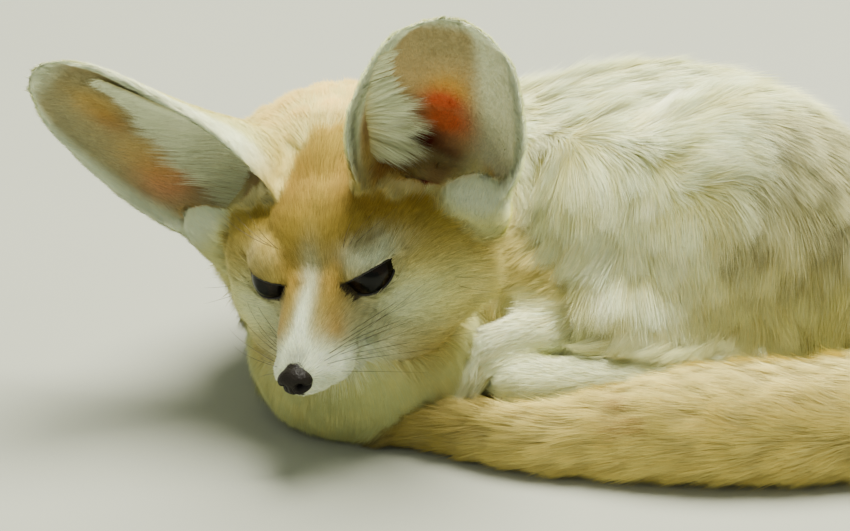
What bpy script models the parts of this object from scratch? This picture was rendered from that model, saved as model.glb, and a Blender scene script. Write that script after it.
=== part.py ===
"""A fennec fox that lies curled on the floor with its chin over its chest and its tail round its feet, life size.

+Z is up, the fox's head is towards -X and its back towards +Y. The origin is on the floor under the belly.
Lengths below are in millimetres and become metres through MM or mm().
"""

import math

import bmesh
import bpy
import numpy as np
from mathutils import Euler, Matrix, Vector
from mathutils.bvhtree import BVHTree

MM = 0.001
GAP = 0.3 * MM
ROUND_STEPS = 4
FINE_VOXEL = 1.3
BODY_VOXEL = 2.2

# The sizes below are laid out round a point between the feet; this one under the belly becomes the origin.
UNDER_BELLY = (40, 38, 0)

# Where the head sits and how it is turned: the nose points down, to the fox's right, with its left side raised.
HEAD_PLACE = (-60, -38, 70)
HEAD_PITCH = 20
HEAD_ROLL = -12
HEAD_YAW = -22

# The eye and its lids, in the head's own directions: +X to the fox's left, -Y to the nose, +Z to the crown.
EYE_RADIUS = 9.6
EYE_PLACE = (18.3, -23, 4)
EYE_TURN = 26
LID_HALF_LENGTH = 71
LID_HALF_HEIGHT = 27
LID_SLANT = 13
LID_THICKNESS = 2.0

NOSE_PLACE = (0, -64, -12)
NOSE_RADII = (6.6, 4.6, 5.0)
NOSTRIL_RADII = (1.3, 2.4, 1.7)
MUZZLE_ROWS = [(0, -20, -4, 22, 17), (0, -37, -8, 16, 13.5), (0, -51, -12, 12, 10), (0, -58, -13.5, 9.5, 8)]
JAW_ROWS = [(0, -8, -22, 17, 11), (0, -30, -21.5, 13, 7.5), (0, -47, -21.5, 8.5, 4.8), (0, -54, -21.2, 5.5, 3.6)]
MOUTH_DEPTH = 0.9
MOUTH_ROUTE = [(0, -62, -20), (6, -58, -20.5), (11, -48, -21), (15, -37, -19.5), (17, -33, -17.5)]

# Each ear is a scoop: rows of (share of the length, half of the width round the curve, half angle of the curve).
EAR_LENGTH = 99
EAR_THICKNESS = 3.2
EAR_PLACES = {"left": (30.5, -1, 8), "right": (-34.5, -2, 5)}
EAR_ROWS = [(-0.06, 38, 112), (0.05, 42, 108), (0.14, 45, 100), (0.25, 45.5, 91), (0.4, 40, 70), (0.55, 34.5, 55),
            (0.7, 29.5, 47), (0.84, 23.5, 40), (0.94, 15, 35), (1.0, 5, 30)]
EAR_TIPS = {"left": (0.491, -0.074, 0.881), "right": (-0.619, -0.021, 0.786)}
EAR_MOUTHS = {"left": (0.20, -0.97, 0.0), "right": (-0.08, -0.99, -0.09)}

# Body forms: each row of a loft is a centre and the half width and half height of the body there.
TORSO_ROWS = [(-56, 38, 55, 38, 39), (-36, 50, 50, 46, 45), (2, 52, 48, 49, 49), (44, 40, 53, 47, 58),
              (82, 22, 53, 45, 55), (112, 2, 43, 36, 42), (130, -16, 34, 24, 30)]
FLANK_PLACE = (12, 12, 34)
FLANK_RADII = (52, 34, 35)
NECK_ROWS = [(-64, -20, 68, 43, 38), (-64, -4, 66, 52, 47), (-59, 18, 60, 51, 49), (-54, 36, 54, 44, 44)]
CHEST_PLACE = (-56, -26, 27)
CHEST_RADII = (42, 43, 35)
TAIL_ROWS = [(130, -22, 32, 16, 17), (146, -46, 25, 21, 22), (138, -72, 22, 21.5, 22), (105, -84, 21, 21, 21),
             (65, -87, 20.5, 20.5, 20.5), (30, -83, 15, 15.5, 15), (2, -79, 12, 12.5, 12), (-20, -66, 10, 10.5, 10),
             (-44, -57, 8, 8.5, 8), (-66, -52, 6.5, 6, 6.5)]
TAIL_CUTS = [0.28, 0.52, 0.76]
TAIL_NAMES = ["tail_root", "tail_middle", "tail_end", "tail_tip"]

THIGH = {"left": ((77, -6, 60), (52, 32, 57)), "right": ((72, 66, 40), (46, 27, 40))}
KNEE = {"left": ((40, -20, 36), (22, 20, 26)), "right": ((36, 84, 24), (20, 17, 22))}
SHANK = {"left": [(40, -26, 27, 15, 15), (64, -26, 27, 13, 14), (82, -24, 27, 11, 13)],
         "right": [(36, 86, 18, 13, 14), (60, 84, 18, 12, 13), (78, 78, 18, 11, 12)]}
HIND_FOOT = {"left": [(82, -35, 23, 8, 10), (55, -42, 19, 9, 9), (22, -43, 18, 10, 9), (2, -43, 17, 12, 10)],
             "right": [(84, 86, 11, 8, 10), (52, 97, 10, 8, 9), (20, 101, 9, 9, 8), (4, 101, 9, 11, 8)]}
UPPER_ARM = {"left": [(-8, 8, 50, 18, 20), (12, -8, 40, 17, 18), (24, -14, 31, 13, 14)],
             "right": [(-80, 46, 44, 14, 18), (-87, 42, 32, 13, 15), (-88, 34, 22, 11, 12)]}
FOREARM = {"left": [(24, -15, 29, 12, 12), (4, -27, 30, 10, 10.5), (-16, -36, 24, 9, 9), (-28, -42, 14, 8, 8)],
           "right": [(-88, 32, 22, 10, 11), (-90, 8, 15, 9, 9.5), (-88, -12, 10, 8, 8.5), (-87, -20, 9, 8, 8)]}
FOREPAW = {"left": [(-29, -43, 13, 8, 8), (-40, -42, 9, 9.5, 8), (-46, -40, 8.5, 10, 7.5)],
           "right": [(-87, -21, 9, 8, 8), (-86, -33, 8.5, 10, 7.5), (-85, -38, 8.5, 10, 7.5)]}
TOE_COUNT = 4

# Long coat: depth of the fur over its core, then the length, the width and the spacing of its locks.
COATS = {
    "head": (5, 24, 11, 10),
    "tail": (6.5, 38, 15, 15.5),
    "hind_leg_left": (6, 38, 17, 15.5),
    "hind_leg_right": (6, 38, 18, 18),
    "neck": (6.5, 36, 15.5, 16),
    "torso": (6.5, 44, 20, 20),
}
# A lock's stations: share of its length, height over the core as a share of the depth, share of its full width.
LOCK_ROWS = [(0.0, -0.3, 0.8), (0.36, 0.4, 1.0), (0.72, 0.8, 0.78), (1.0, 1.05, 0.0)]
LOCK_THICKNESS = 0.15
LOCK_CLEARANCE = 0.4
LOWEST_LOCK = (0.8, 2.6)
WHORL = (64, -34, 84)
SEED = 7
SIDES = ("left", "right")

# The colour and the roughness of each kind of node.
LOOKS = {
    "eye": ((0.02, 0.012, 0.008), 0.08),
    "nose": ((0.03, 0.022, 0.018), 0.45),
    "head": ((0.68, 0.50, 0.27), 0.9),
    "ear": ((0.80, 0.72, 0.56), 0.85),
    "neck": ((0.66, 0.46, 0.22), 0.9),
    "torso": ((0.76, 0.68, 0.47), 0.9),
    "hind_leg": ((0.76, 0.68, 0.47), 0.9),
    "foreleg": ((0.74, 0.62, 0.38), 0.9),
    "hind_foot": ((0.84, 0.80, 0.66), 0.9),
    "forepaw": ((0.84, 0.80, 0.66), 0.9),
    "tail": ((0.66, 0.50, 0.25), 0.9),
}


def mm(*values):
    """A point or a size given in millimetres."""
    return Vector(values) * MM


def clear_scene():
    for obj in list(bpy.data.objects):
        bpy.data.objects.remove(obj)


def collection(name):
    made = bpy.data.collections.new(name)
    bpy.context.scene.collection.children.link(made)
    return made


def from_bmesh(name, shape):
    """A new object that holds this bmesh, with its faces pointing out."""
    bmesh.ops.recalc_face_normals(shape, faces=shape.faces)
    mesh = bpy.data.meshes.new(name)
    shape.to_mesh(mesh)
    shape.free()
    obj = bpy.data.objects.new(name, mesh)
    bpy.context.scene.collection.objects.link(obj)
    return obj


def discard(*objects):
    for obj in objects:
        bpy.data.objects.remove(obj)


def baked(obj):
    """The object with its modifiers applied."""
    bpy.context.view_layer.update()
    graph = bpy.context.evaluated_depsgraph_get()
    mesh = bpy.data.meshes.new_from_object(obj.evaluated_get(graph))
    obj.modifiers.clear()
    obj.data = mesh
    return obj


def duplicate(obj, name):
    made = bpy.data.objects.new(name, obj.data.copy())
    made.matrix_world = obj.matrix_world.copy()
    bpy.context.scene.collection.objects.link(made)
    return made


def triangle_count(mesh):
    return sum(len(face.vertices) - 2 for face in mesh.polygons)


def tree_of(obj):
    shape = bmesh.new()
    shape.from_mesh(obj.data)
    tree = BVHTree.FromBMesh(shape)
    shape.free()
    return tree


def smooth_rows(rows, count):
    """Rows read at even steps from a smooth curve through the given rows."""
    rows = np.array(rows, float)
    ends = np.vstack([2 * rows[0] - rows[1], rows, 2 * rows[-1] - rows[-2]])
    read = []
    for place in np.linspace(0, len(rows) - 1, count):
        start = min(int(place), len(rows) - 2)
        f = place - start
        a, b, c, d = ends[start:start + 4]
        read.append(b + 0.5 * f * (c - a + f * (2 * a - 5 * b + 4 * c - d + f * (3 * (b - c) + d - a))))
    return np.array(read)


def inset_rows(rows, depth):
    """The rows of the core under a coat, which is pressed flat only underneath."""
    return [(x, y, z - depth / 2, width - depth, height - depth / 2) for x, y, z, width, height in rows]


def inset_ellipsoid(name, centre, radii, depth):
    """An ellipsoid's core under a coat, which is pressed flat only underneath."""
    x, y, z = centre
    return ellipsoid(name, (x, y, z - depth / 2), (radii[0] - depth, radii[1] - depth, radii[2] - depth / 2))


def loft(name, rows, steps=20, sides=20):
    """A closed form with elliptical sections and rounded ends, through rows of (x, y, z, half width, half height)."""
    read = smooth_rows(rows, steps) * MM
    places, halves = read[:, :3], read[:, 3:]
    along = np.gradient(places, axis=0)
    along /= np.linalg.norm(along, axis=1)[:, None]
    sections = []
    for end, sign in ((0, -1), (-1, 1)):
        cap = []
        for step in range(1, ROUND_STEPS):
            angle = 0.5 * math.pi * step / ROUND_STEPS
            reach = sign * math.sin(angle) * halves[end].min()
            cap.append((places[end] + along[end] * reach, along[end], halves[end] * math.cos(angle)))
        sections.append(cap)
    rings = sections[0][::-1] + list(zip(places, along, halves)) + sections[1]
    shape = bmesh.new()
    made = []
    for centre, ahead, (width, height) in rings:
        side = np.cross(ahead, (0, 0, 1))
        side /= np.linalg.norm(side)
        up = np.cross(side, ahead)
        angles = [2 * math.pi * k / sides for k in range(sides)]
        made.append([shape.verts.new(centre + side * width * math.cos(a) + up * height * math.sin(a)) for a in angles])
    for first, second in zip(made, made[1:]):
        for k in range(sides):
            shape.faces.new((first[k], first[(k + 1) % sides], second[(k + 1) % sides], second[k]))
    shape.faces.new(made[0])
    shape.faces.new(made[-1])
    return from_bmesh(name, shape)


def ellipsoid(name, centre, radii, turn=(0, 0, 0), segments=24):
    shape = bmesh.new()
    bmesh.ops.create_uvsphere(shape, u_segments=segments, v_segments=segments // 2, radius=1)
    place = Matrix.LocRotScale(mm(*centre), Euler([math.radians(a) for a in turn]), mm(*radii))
    bmesh.ops.transform(shape, matrix=place, verts=shape.verts)
    return from_bmesh(name, shape)


def joined(name, pieces):
    """All the pieces' faces in one object, still overlapping."""
    shape = bmesh.new()
    for piece in pieces:
        shape.from_mesh(piece.data)
    discard(*pieces)
    return from_bmesh(name, shape)


def fused(name, pieces, voxel, rounds, triangles):
    """One soft form from overlapping pieces, brought to about this many triangles."""
    obj = joined(name, pieces)
    remesh = obj.modifiers.new("one surface", "REMESH")
    remesh.mode = "VOXEL"
    remesh.voxel_size = voxel * MM
    soften = obj.modifiers.new("soften", "SMOOTH")
    soften.factor = 0.5
    soften.iterations = rounds
    baked(obj)
    thin = obj.modifiers.new("fewer faces", "DECIMATE")
    thin.ratio = triangles / triangle_count(obj.data)
    obj.modifiers.new("triangles", "TRIANGULATE")
    return baked(obj)


def turned(obj, matrix):
    obj.data.transform(matrix)
    return obj


def grown(obj, by):
    """A copy whose faces lie this far outside the object's own, with mitred corners."""
    made = duplicate(obj, obj.name + "_grown")
    shape = bmesh.new()
    shape.from_mesh(made.data)
    moves = []
    for vert in shape.verts:
        facing = np.array([loop.face.normal for loop in vert.link_loops])
        weight = np.array([loop.calc_angle() for loop in vert.link_loops])[:, None]
        level = (facing * weight).T @ facing + 0.01 * np.eye(3)
        moves.append(Vector(np.linalg.solve(level, (facing * weight).sum(axis=0))) * by)
    for vert, move in zip(shape.verts, moves):
        vert.co += move.normalized() * min(move.length, 2.5 * by)
    shape.to_mesh(made.data)
    shape.free()
    return made


def boolean(obj, others, operation="DIFFERENCE", solver="EXACT"):
    """The object cut by, or joined with, the other objects, which are removed."""
    tools = collection("tools")
    for other in others:
        tools.objects.link(other)
    step = obj.modifiers.new(operation.lower(), "BOOLEAN")
    step.operation = operation
    step.operand_type = "COLLECTION"
    step.collection = tools
    step.solver = solver
    baked(obj)
    discard(*others)
    bpy.data.collections.remove(tools)
    return keep_largest(obj)


def keep_largest(obj):
    """Drops every closed surface but the largest."""
    shape = bmesh.new()
    shape.from_mesh(obj.data)
    left = set(shape.faces)
    surfaces = []
    while left:
        todo = [left.pop()]
        surface = set(todo)
        while todo:
            for edge in todo.pop().edges:
                if len(edge.link_faces) != 2:
                    continue
                for face in edge.link_faces:
                    if face in left:
                        left.discard(face)
                        surface.add(face)
                        todo.append(face)
        surfaces.append(surface)
    largest = max(surfaces, key=lambda faces: sum(face.calc_area() for face in faces))
    bmesh.ops.delete(shape, geom=[face for face in shape.faces if face not in largest], context="FACES")
    shape.to_mesh(obj.data)
    shape.free()
    return obj


def faults(obj):
    """Middles of the edges where the surface, in triangles, touches itself."""
    obj.data.calc_loop_triangles()
    corners = [tuple(np.round(np.array(vert.co) / (0.0002 * MM)).astype(int)) for vert in obj.data.vertices]
    shared = {}
    for triangle in obj.data.loop_triangles:
        first, second, third = triangle.vertices
        for pair in ((first, second), (second, third), (third, first)):
            ends = frozenset(corners[index] for index in pair)
            if len(ends) == 2:
                shared.setdefault(ends, []).append(pair)
    return [obj.data.vertices[uses[0][0]].co for uses in shared.values() if len(uses) != 2]


def sliced(obj, place, ahead):
    """Takes away what lies past a plane, and closes the cut with a flat face."""
    shape = bmesh.new()
    shape.from_mesh(obj.data)
    cut = bmesh.ops.bisect_plane(shape, geom=shape.verts[:] + shape.edges[:] + shape.faces[:], dist=0.01 * MM,
                                 plane_co=place, plane_no=ahead, clear_outer=True)
    rim = [part for part in cut["geom_cut"] if isinstance(part, bmesh.types.BMEdge)]
    bmesh.ops.holes_fill(shape, edges=rim)
    shape.to_mesh(obj.data)
    shape.free()
    return obj


def stood(obj):
    """Cuts the object level where it meets the floor."""
    lowest = min(vert.co.z for vert in obj.data.vertices)
    return sliced(obj, Vector(), Vector((0, 0, -1))) if lowest < 0 else obj


def clear_of(obj, neighbours):
    """Cuts away what lies within the gap of each neighbour."""
    return boolean(obj, [grown(other, GAP) for other in neighbours])


def head_matrix():
    yaw = Matrix.Rotation(math.radians(HEAD_YAW), 4, "Z")
    pitch = Matrix.Rotation(math.radians(HEAD_PITCH), 4, "X")
    roll = Matrix.Rotation(math.radians(HEAD_ROLL), 4, "Y")
    return Matrix.Translation(mm(*HEAD_PLACE)) @ yaw @ pitch @ roll


def mirrored(point, side):
    sign = 1 if side == "left" else -1
    return (sign * point[0], *point[1:])


def lid_ring(side, reach, count=14):
    """Points of the almond opening between the lids, this far from the eye's centre in millimetres."""
    sign = 1 if side == "left" else -1
    turn = Matrix.Rotation(math.radians(sign * EYE_TURN), 3, "Z") @ Matrix.Rotation(
        math.radians(-sign * LID_SLANT), 3, "Y")
    centre = mm(*mirrored(EYE_PLACE, side))
    points = []
    for k in range(count):
        angle = 2 * math.pi * k / count
        across = math.radians(LID_HALF_LENGTH) * math.cos(angle)
        rise = math.radians(LID_HALF_HEIGHT) * math.sin(angle) * (1 - 0.25 * math.cos(angle) ** 2)
        ahead = Vector((math.sin(across) * math.cos(rise), -math.cos(across) * math.cos(rise), math.sin(rise)))
        points.append(centre + turn @ ahead * reach * MM)
    return points


def lid_opening(side):
    """A cone with the almond's outline that runs from inside the eye out through the lids."""
    inner, outer = lid_ring(side, 0.4 * EYE_RADIUS), lid_ring(side, 1.9 * EYE_RADIUS)
    shape = bmesh.new()
    rings = [[shape.verts.new(p) for p in ring] for ring in (inner, outer)]
    count = len(inner)
    for k in range(count):
        shape.faces.new((rings[0][k], rings[0][(k + 1) % count], rings[1][(k + 1) % count], rings[1][k]))
    for ring in rings:
        bmesh.ops.triangulate(shape, faces=[shape.faces.new(ring)])
    return from_bmesh("lid_opening", shape)


def tube(name, points, radius, closed=False):
    """A round tube along these points, as a mesh with its caps joined on."""
    curve = bpy.data.curves.new(name, "CURVE")
    curve.dimensions = "3D"
    curve.bevel_depth = radius
    curve.bevel_resolution = 1
    curve.use_fill_caps = not closed
    spline = curve.splines.new("POLY")
    spline.points.add(len(points) - 1)
    for held, point in zip(spline.points, points):
        held.co = (*point, 1)
    spline.use_cyclic_u = closed
    wire = bpy.data.objects.new(name, curve)
    bpy.context.scene.collection.objects.link(wire)
    bpy.context.view_layer.update()
    graph = bpy.context.evaluated_depsgraph_get()
    mesh = bpy.data.meshes.new_from_object(wire.evaluated_get(graph))
    discard(wire)
    shape = bmesh.new()
    shape.from_mesh(mesh)
    bmesh.ops.remove_doubles(shape, verts=shape.verts, dist=0.01 * MM)
    return from_bmesh(name, shape)


def make_eye(side):
    return ellipsoid("eye_" + side, mirrored(EYE_PLACE, side), (EYE_RADIUS,) * 3, segments=14)


def nose_core():
    """The bare nose pad."""
    return fused("nose_core", [
        ellipsoid("pad", NOSE_PLACE, NOSE_RADII),
        ellipsoid("pad_top", (0, -60, -9.5), (4.6, 5, 3)),
        ellipsoid("lip_root", (0, -62, -16), (2.2, 3.4, 3.6)),
    ], 0.5, 3, 150)


def with_nostrils(pad):
    cutters = []
    for side in (1, -1):
        cutters.append(ellipsoid("nostril", (3.4 * side, -68.6, -12.2), NOSTRIL_RADII, (0, side * 25, 0), 6))
        cutters.append(ellipsoid("slit", (5.6 * side, -66.6, -13.4), (2.4, 1.6, 0.7), (0, side * 20, 0), 6))
    return boolean(pad, cutters)


def head_core():
    """Skull, cheeks, brows, muzzle and jaw in one form."""
    pieces = [
        ellipsoid("cranium", (0, 4, 1), (34, 37, 28)),
        ellipsoid("crown", (0, 14, 10), (28, 28, 24)),
        loft("muzzle", MUZZLE_ROWS, 8, 16),
        loft("jaw", JAW_ROWS, 8, 16),
    ]
    for sign in (1, -1):
        pieces += [
            ellipsoid("cheek", (sign * 25, -6, -12), (23, 25, 20)),
            ellipsoid("temple", (sign * 27, -5, 0), (19, 23, 19)),
            inset_ellipsoid("ruff", (sign * 39, 1, -9), (17, 19, 25), COATS["head"][0]),
            ellipsoid("jowl", (sign * 21, -12, -21), (21, 24, 15)),
            ellipsoid("orbit", (sign * EYE_PLACE[0], *EYE_PLACE[1:]), (EYE_RADIUS + LID_THICKNESS,) * 3),
            ellipsoid("brow", (sign * 15, -21, 10), (12, 9, 6)),
            ellipsoid("lip", (sign * 8, -49, -16), (7, 11, 6)),
        ]
    return fused("head_core", pieces, FINE_VOXEL, 7, 1700)


def with_features(head, eyes, nose):
    """Opens the lids round the eyes, sinks the nose and draws the line of the mouth."""
    skin = tree_of(head)
    cutters = [grown(obj, GAP) for obj in (*eyes, nose)]
    for side in SIDES:
        cutters.append(lid_opening(side))
        route = [skin.find_nearest(mm(*mirrored(p, side)))[0] for p in smooth_rows(MOUTH_ROUTE, 6)]
        cutters.append(tube("mouth", route, MOUTH_DEPTH * MM))
    return boolean(head, cutters)


def make_ear(side):
    """One scoop of the outer ear, longer at its root than what shows."""
    rows = smooth_rows(EAR_ROWS, 11)
    across = np.linspace(-1, 1, 9)
    shape = bmesh.new()
    grid = []
    for share, half, angle in rows:
        spread = math.radians(angle)
        radius = half / spread
        grid.append([shape.verts.new(mm(radius * math.sin(spread * t), radius * (math.cos(spread * t) - math.cos(spread)),
                                        share * EAR_LENGTH)) for t in across])
    for first, second in zip(grid, grid[1:]):
        for k in range(len(across) - 1):
            shape.faces.new((first[k], second[k], second[k + 1], first[k + 1]))
    bmesh.ops.triangulate(shape, faces=shape.faces)
    ear = from_bmesh("ear_" + side, shape)
    wall = ear.modifiers.new("wall", "SOLIDIFY")
    wall.thickness = EAR_THICKNESS * MM
    wall.offset = 0
    ear.modifiers.new("triangles", "TRIANGULATE")
    return turned(baked(ear), ear_matrix(side))


def ear_matrix(side):
    """From the ear's own directions, its length along +Z and its mouth towards -Y, to the head's."""
    up = Vector(EAR_TIPS[side]).normalized()
    mouth = Vector(EAR_MOUTHS[side])
    mouth = (mouth - up * mouth.dot(up)).normalized()
    across = up.cross(mouth)
    turn = Matrix((across, -mouth, up)).transposed()
    return Matrix.Translation(mm(*EAR_PLACES[side])) @ turn.to_4x4()


def toes(route, side_count):
    """Rounded toes side by side at the end of a foot."""
    end, before = np.array(route[-2:][::-1], float)
    ahead = (end - before)[:3]
    ahead /= np.linalg.norm(ahead)
    side = np.cross(ahead, (0, 0, 1))
    half = end[3]
    made = []
    for k in range(side_count):
        share = (k + 0.5) / side_count * 2 - 1
        lead = 0.45 * half * (1 - share * share)
        centre = end[:3] + side * share * half * 0.78 + ahead * lead
        turn = math.degrees(math.atan2(ahead[1], ahead[0]))
        made.append(ellipsoid("toe", centre, (half * 0.75, half * 0.32, end[4] * 0.86), (0, 0, turn), 12))
    return made


def tail_lengths(whole):
    """The bushy tail parted by thin cuts into lengths, named from the root."""
    steps = 41
    rows = smooth_rows(TAIL_ROWS, steps)
    bounds = [0] + [round(share * (steps - 1)) for share in TAIL_CUTS] + [steps - 1]
    lengths = []
    for name, start, end in zip(TAIL_NAMES, bounds, bounds[1:]):
        length = duplicate(whole, name)
        for index, sign in ((start, -1), (end, 1)):
            if 0 < index < steps - 1:
                ahead = Vector(rows[index + 1][:3] - rows[index - 1][:3]).normalized() * sign
                sliced(length, mm(*rows[index][:3]) - ahead * GAP / 2, ahead)
        lengths.append(keep_largest(length))
    return lengths


def soft_node(name, pieces, voxel, rounds, triangles, near, cores):
    """A node of flesh and coat, level on the floor and cut clear of the cores near it; its own core is kept."""
    core = stood(fused(name + "_core", pieces, voxel, rounds, triangles))
    node = duplicate(core, name)
    cores[name] = core
    if near:
        clear_of(node, [cores[other] for other in near])
    return node


def foot_pieces(route):
    return [loft("foot", route, 12, 16)] + toes(route, TOE_COUNT)


def hind_leg_pieces(side):
    depth = COATS["hind_leg_" + side][0]
    return [inset_ellipsoid("thigh", *THIGH[side], depth), ellipsoid("knee", *KNEE[side]),
            loft("shank", SHANK[side], 12, 16)]


def foreleg_pieces(side):
    return [loft("upper_arm", UPPER_ARM[side], 12, 16), loft("forearm", FOREARM[side], 12, 16)]


def paint(obj):
    """Gives the node its own material in the colour and finish of its kind."""
    look = next(value for key, value in LOOKS.items() if obj.name.startswith(key))
    made = bpy.data.materials.new(obj.name)
    made.use_nodes = True
    shader = made.node_tree.nodes["Principled BSDF"]
    shader.inputs["Base Color"].default_value = (*look[0], 1)
    shader.inputs["Roughness"].default_value = look[1]
    obj.data.materials.clear()
    obj.data.materials.append(made)
    obj.data.shade_smooth()
    obj.data.set_sharp_from_angle(angle=math.radians(40))


def make_face():
    """Head, nose, eyes and ears, built facing forward and then turned as the fox holds its head."""
    eyes = [make_eye(side) for side in SIDES]
    pad = nose_core()
    skull = head_core()
    nose = with_nostrils(duplicate(pad, "nose"))
    head = with_features(duplicate(skull, "head"), eyes, pad)
    ears = [make_ear(side) for side in SIDES]
    cores = {ear.name: duplicate(ear, ear.name + "_core") for ear in ears}
    cores.update(head=skull, nose=pad)
    for ear in ears:
        clear_of(ear, [skull])
    nodes = [head, nose, *eyes, *ears]
    for obj in nodes + list(cores.values()):
        turned(obj, head_matrix())
    return nodes, cores


def make_body(cores):
    """Tail, feet, legs, neck and torso, each cut clear of those before it."""
    rows = inset_rows(TAIL_ROWS, COATS["tail"][0])
    cores["tail"] = stood(fused("tail_core", [loft("tail", rows, 40, 16)], BODY_VOXEL, 2, 420))
    nodes = tail_lengths(cores["tail"])
    for side in SIDES:
        nodes.append(soft_node("hind_foot_" + side, foot_pieces(HIND_FOOT[side]), FINE_VOXEL, 2, 260, ["tail"], cores))
        nodes.append(soft_node("forepaw_" + side, foot_pieces(FOREPAW[side]), FINE_VOXEL, 2, 200, ["tail"], cores))
    feet = ["hind_foot_left", "hind_foot_right", "forepaw_left", "forepaw_right"]
    for side in SIDES:
        nodes.append(soft_node("hind_leg_" + side, hind_leg_pieces(side), BODY_VOXEL, 6, 300,
                               ["tail", "hind_foot_" + side], cores))
    legs = ["hind_leg_left", "hind_leg_right"]
    for side in SIDES:
        nodes.append(soft_node("foreleg_" + side, foreleg_pieces(side), BODY_VOXEL, 4, 220,
                               ["tail", *feet, *legs], cores))
    arms = ["foreleg_left", "foreleg_right"]
    ears = ["ear_left", "ear_right"]
    depth = COATS["neck"][0]
    neck = [loft("neck", inset_rows(NECK_ROWS, depth), 14, 24), inset_ellipsoid("chest", CHEST_PLACE, CHEST_RADII, 0.7 * depth)]
    nodes.append(soft_node("neck", neck, BODY_VOXEL, 4, 420,
                           ["head", "nose", *ears, "tail", *feet[2:], *arms], cores))
    depth = COATS["torso"][0]
    torso = [loft("back", inset_rows(TORSO_ROWS, depth), 28, 28), ellipsoid("flank", FLANK_PLACE, FLANK_RADII)]
    nodes.append(soft_node("torso", torso, BODY_VOXEL, 4, 460,
                           ["head", "neck", "tail", *feet, *legs, *arms], cores))
    return nodes


def tail_flow(place):
    """Along the tail to its tip."""
    rows = smooth_rows(TAIL_ROWS, 60)[:, :3] * MM
    nearest = int(np.argmin(np.linalg.norm(rows[:-1] - np.array(place), axis=1)))
    return Vector(rows[nearest + 1] - rows[nearest])


def torso_flow(place):
    """Back towards the rump and down the sides."""
    rows = smooth_rows(TORSO_ROWS, 40)[:, :3] * MM
    nearest = int(np.argmin(np.linalg.norm(rows[:-1] - np.array(place), axis=1)))
    return Vector(rows[nearest + 1] - rows[nearest]).normalized() + Vector((0, 0, -0.75))


def leg_flow(place):
    """Out of the whorl on the haunch, and then down."""
    return (place - mm(*WHORL)).normalized() * 0.6 + Vector((0.2, 0, -0.8))


def neck_flow(place):
    """Away from the face, and down the throat and the sides."""
    away = (place - mm(*HEAD_PLACE)).normalized()
    return away * 0.6 + Vector((0.1, 0.35, -0.7))


def head_flow(place):
    """Back over the cheeks."""
    back = head_matrix().to_3x3() @ Vector((0, 1, -0.35))
    return back + (place - mm(*HEAD_PLACE)).normalized() * 0.5


def lock_mesh(root, normal, flow, size, skin, extra):
    """The corners of one flat, tapered lock that leaves the skin and bends along it; None where it has no skin."""
    length, width, depth, lowest = size
    rings = []
    for share, rise, wide in LOCK_ROWS:
        above = root + flow * length * share
        hit, ahead_normal = skin.ray_cast(above + normal * 12 * MM, -normal, 30 * MM)[:2]
        if hit is None:
            return None
        normal = (normal * 0.4 + ahead_normal * 0.6).normalized()
        flow = (flow - normal * flow.dot(normal)).normalized()
        side = flow.cross(normal)
        half = width * wide / 2 + extra
        ridge = width * LOCK_THICKNESS * wide + extra
        centre = hit + normal * depth * rise
        centre.z = max(centre.z, lowest + extra + half * abs(side.z) + ridge * max(0, -normal.z))
        if wide:
            rings.append([centre + side * half - normal * extra, centre + normal * ridge,
                          centre - side * half - normal * extra])
        else:
            rings.append([centre + flow * extra])
    return rings


def lock_object(name, rings):
    shape = bmesh.new()
    made = [[shape.verts.new(corner) for corner in ring] for ring in rings]
    shape.faces.new(made[0])
    for first, second in zip(made, made[1:]):
        for k in range(3):
            following = (k + 1) % 3
            if len(second) == 1:
                shape.faces.new((first[k], first[following], second[0]))
            else:
                shape.faces.new((first[k], first[following], second[following]))
                shape.faces.new((first[k], second[following], second[k]))
    return from_bmesh(name, shape)


def lock_roots(node, spacing, skin, rng):
    """Places and normals spread evenly over the node's open surface."""
    node.data.calc_loop_triangles()
    corners = np.array([[node.data.vertices[v].co for v in tri.vertices] for tri in node.data.loop_triangles])
    across = np.cross(corners[:, 1] - corners[:, 0], corners[:, 2] - corners[:, 0])
    areas = np.linalg.norm(across, axis=1)
    picks = rng.choice(len(corners), 5000, p=areas / areas.sum())
    u, v = np.sqrt(rng.random(5000)), rng.random(5000)
    a, b, c = corners[picks, 0], corners[picks, 1], corners[picks, 2]
    places = (1 - u)[:, None] * a + (u * (1 - v))[:, None] * b + (u * v)[:, None] * c
    normals = across[picks] / areas[picks][:, None]
    kept = np.zeros((0, 3))
    roots = []
    for place, normal in zip(places, normals):
        if place[2] < 5 * MM or normal[2] < -0.35:
            continue
        if len(kept) and np.linalg.norm(kept - place, axis=1).min() < spacing:
            continue
        out = Vector(normal)
        if skin.ray_cast(Vector(place) + out * 0.05 * MM, out, 9 * MM)[0] is not None:
            continue
        kept = np.vstack([kept, place])
        roots.append((Vector(place), out))
    return roots


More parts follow.
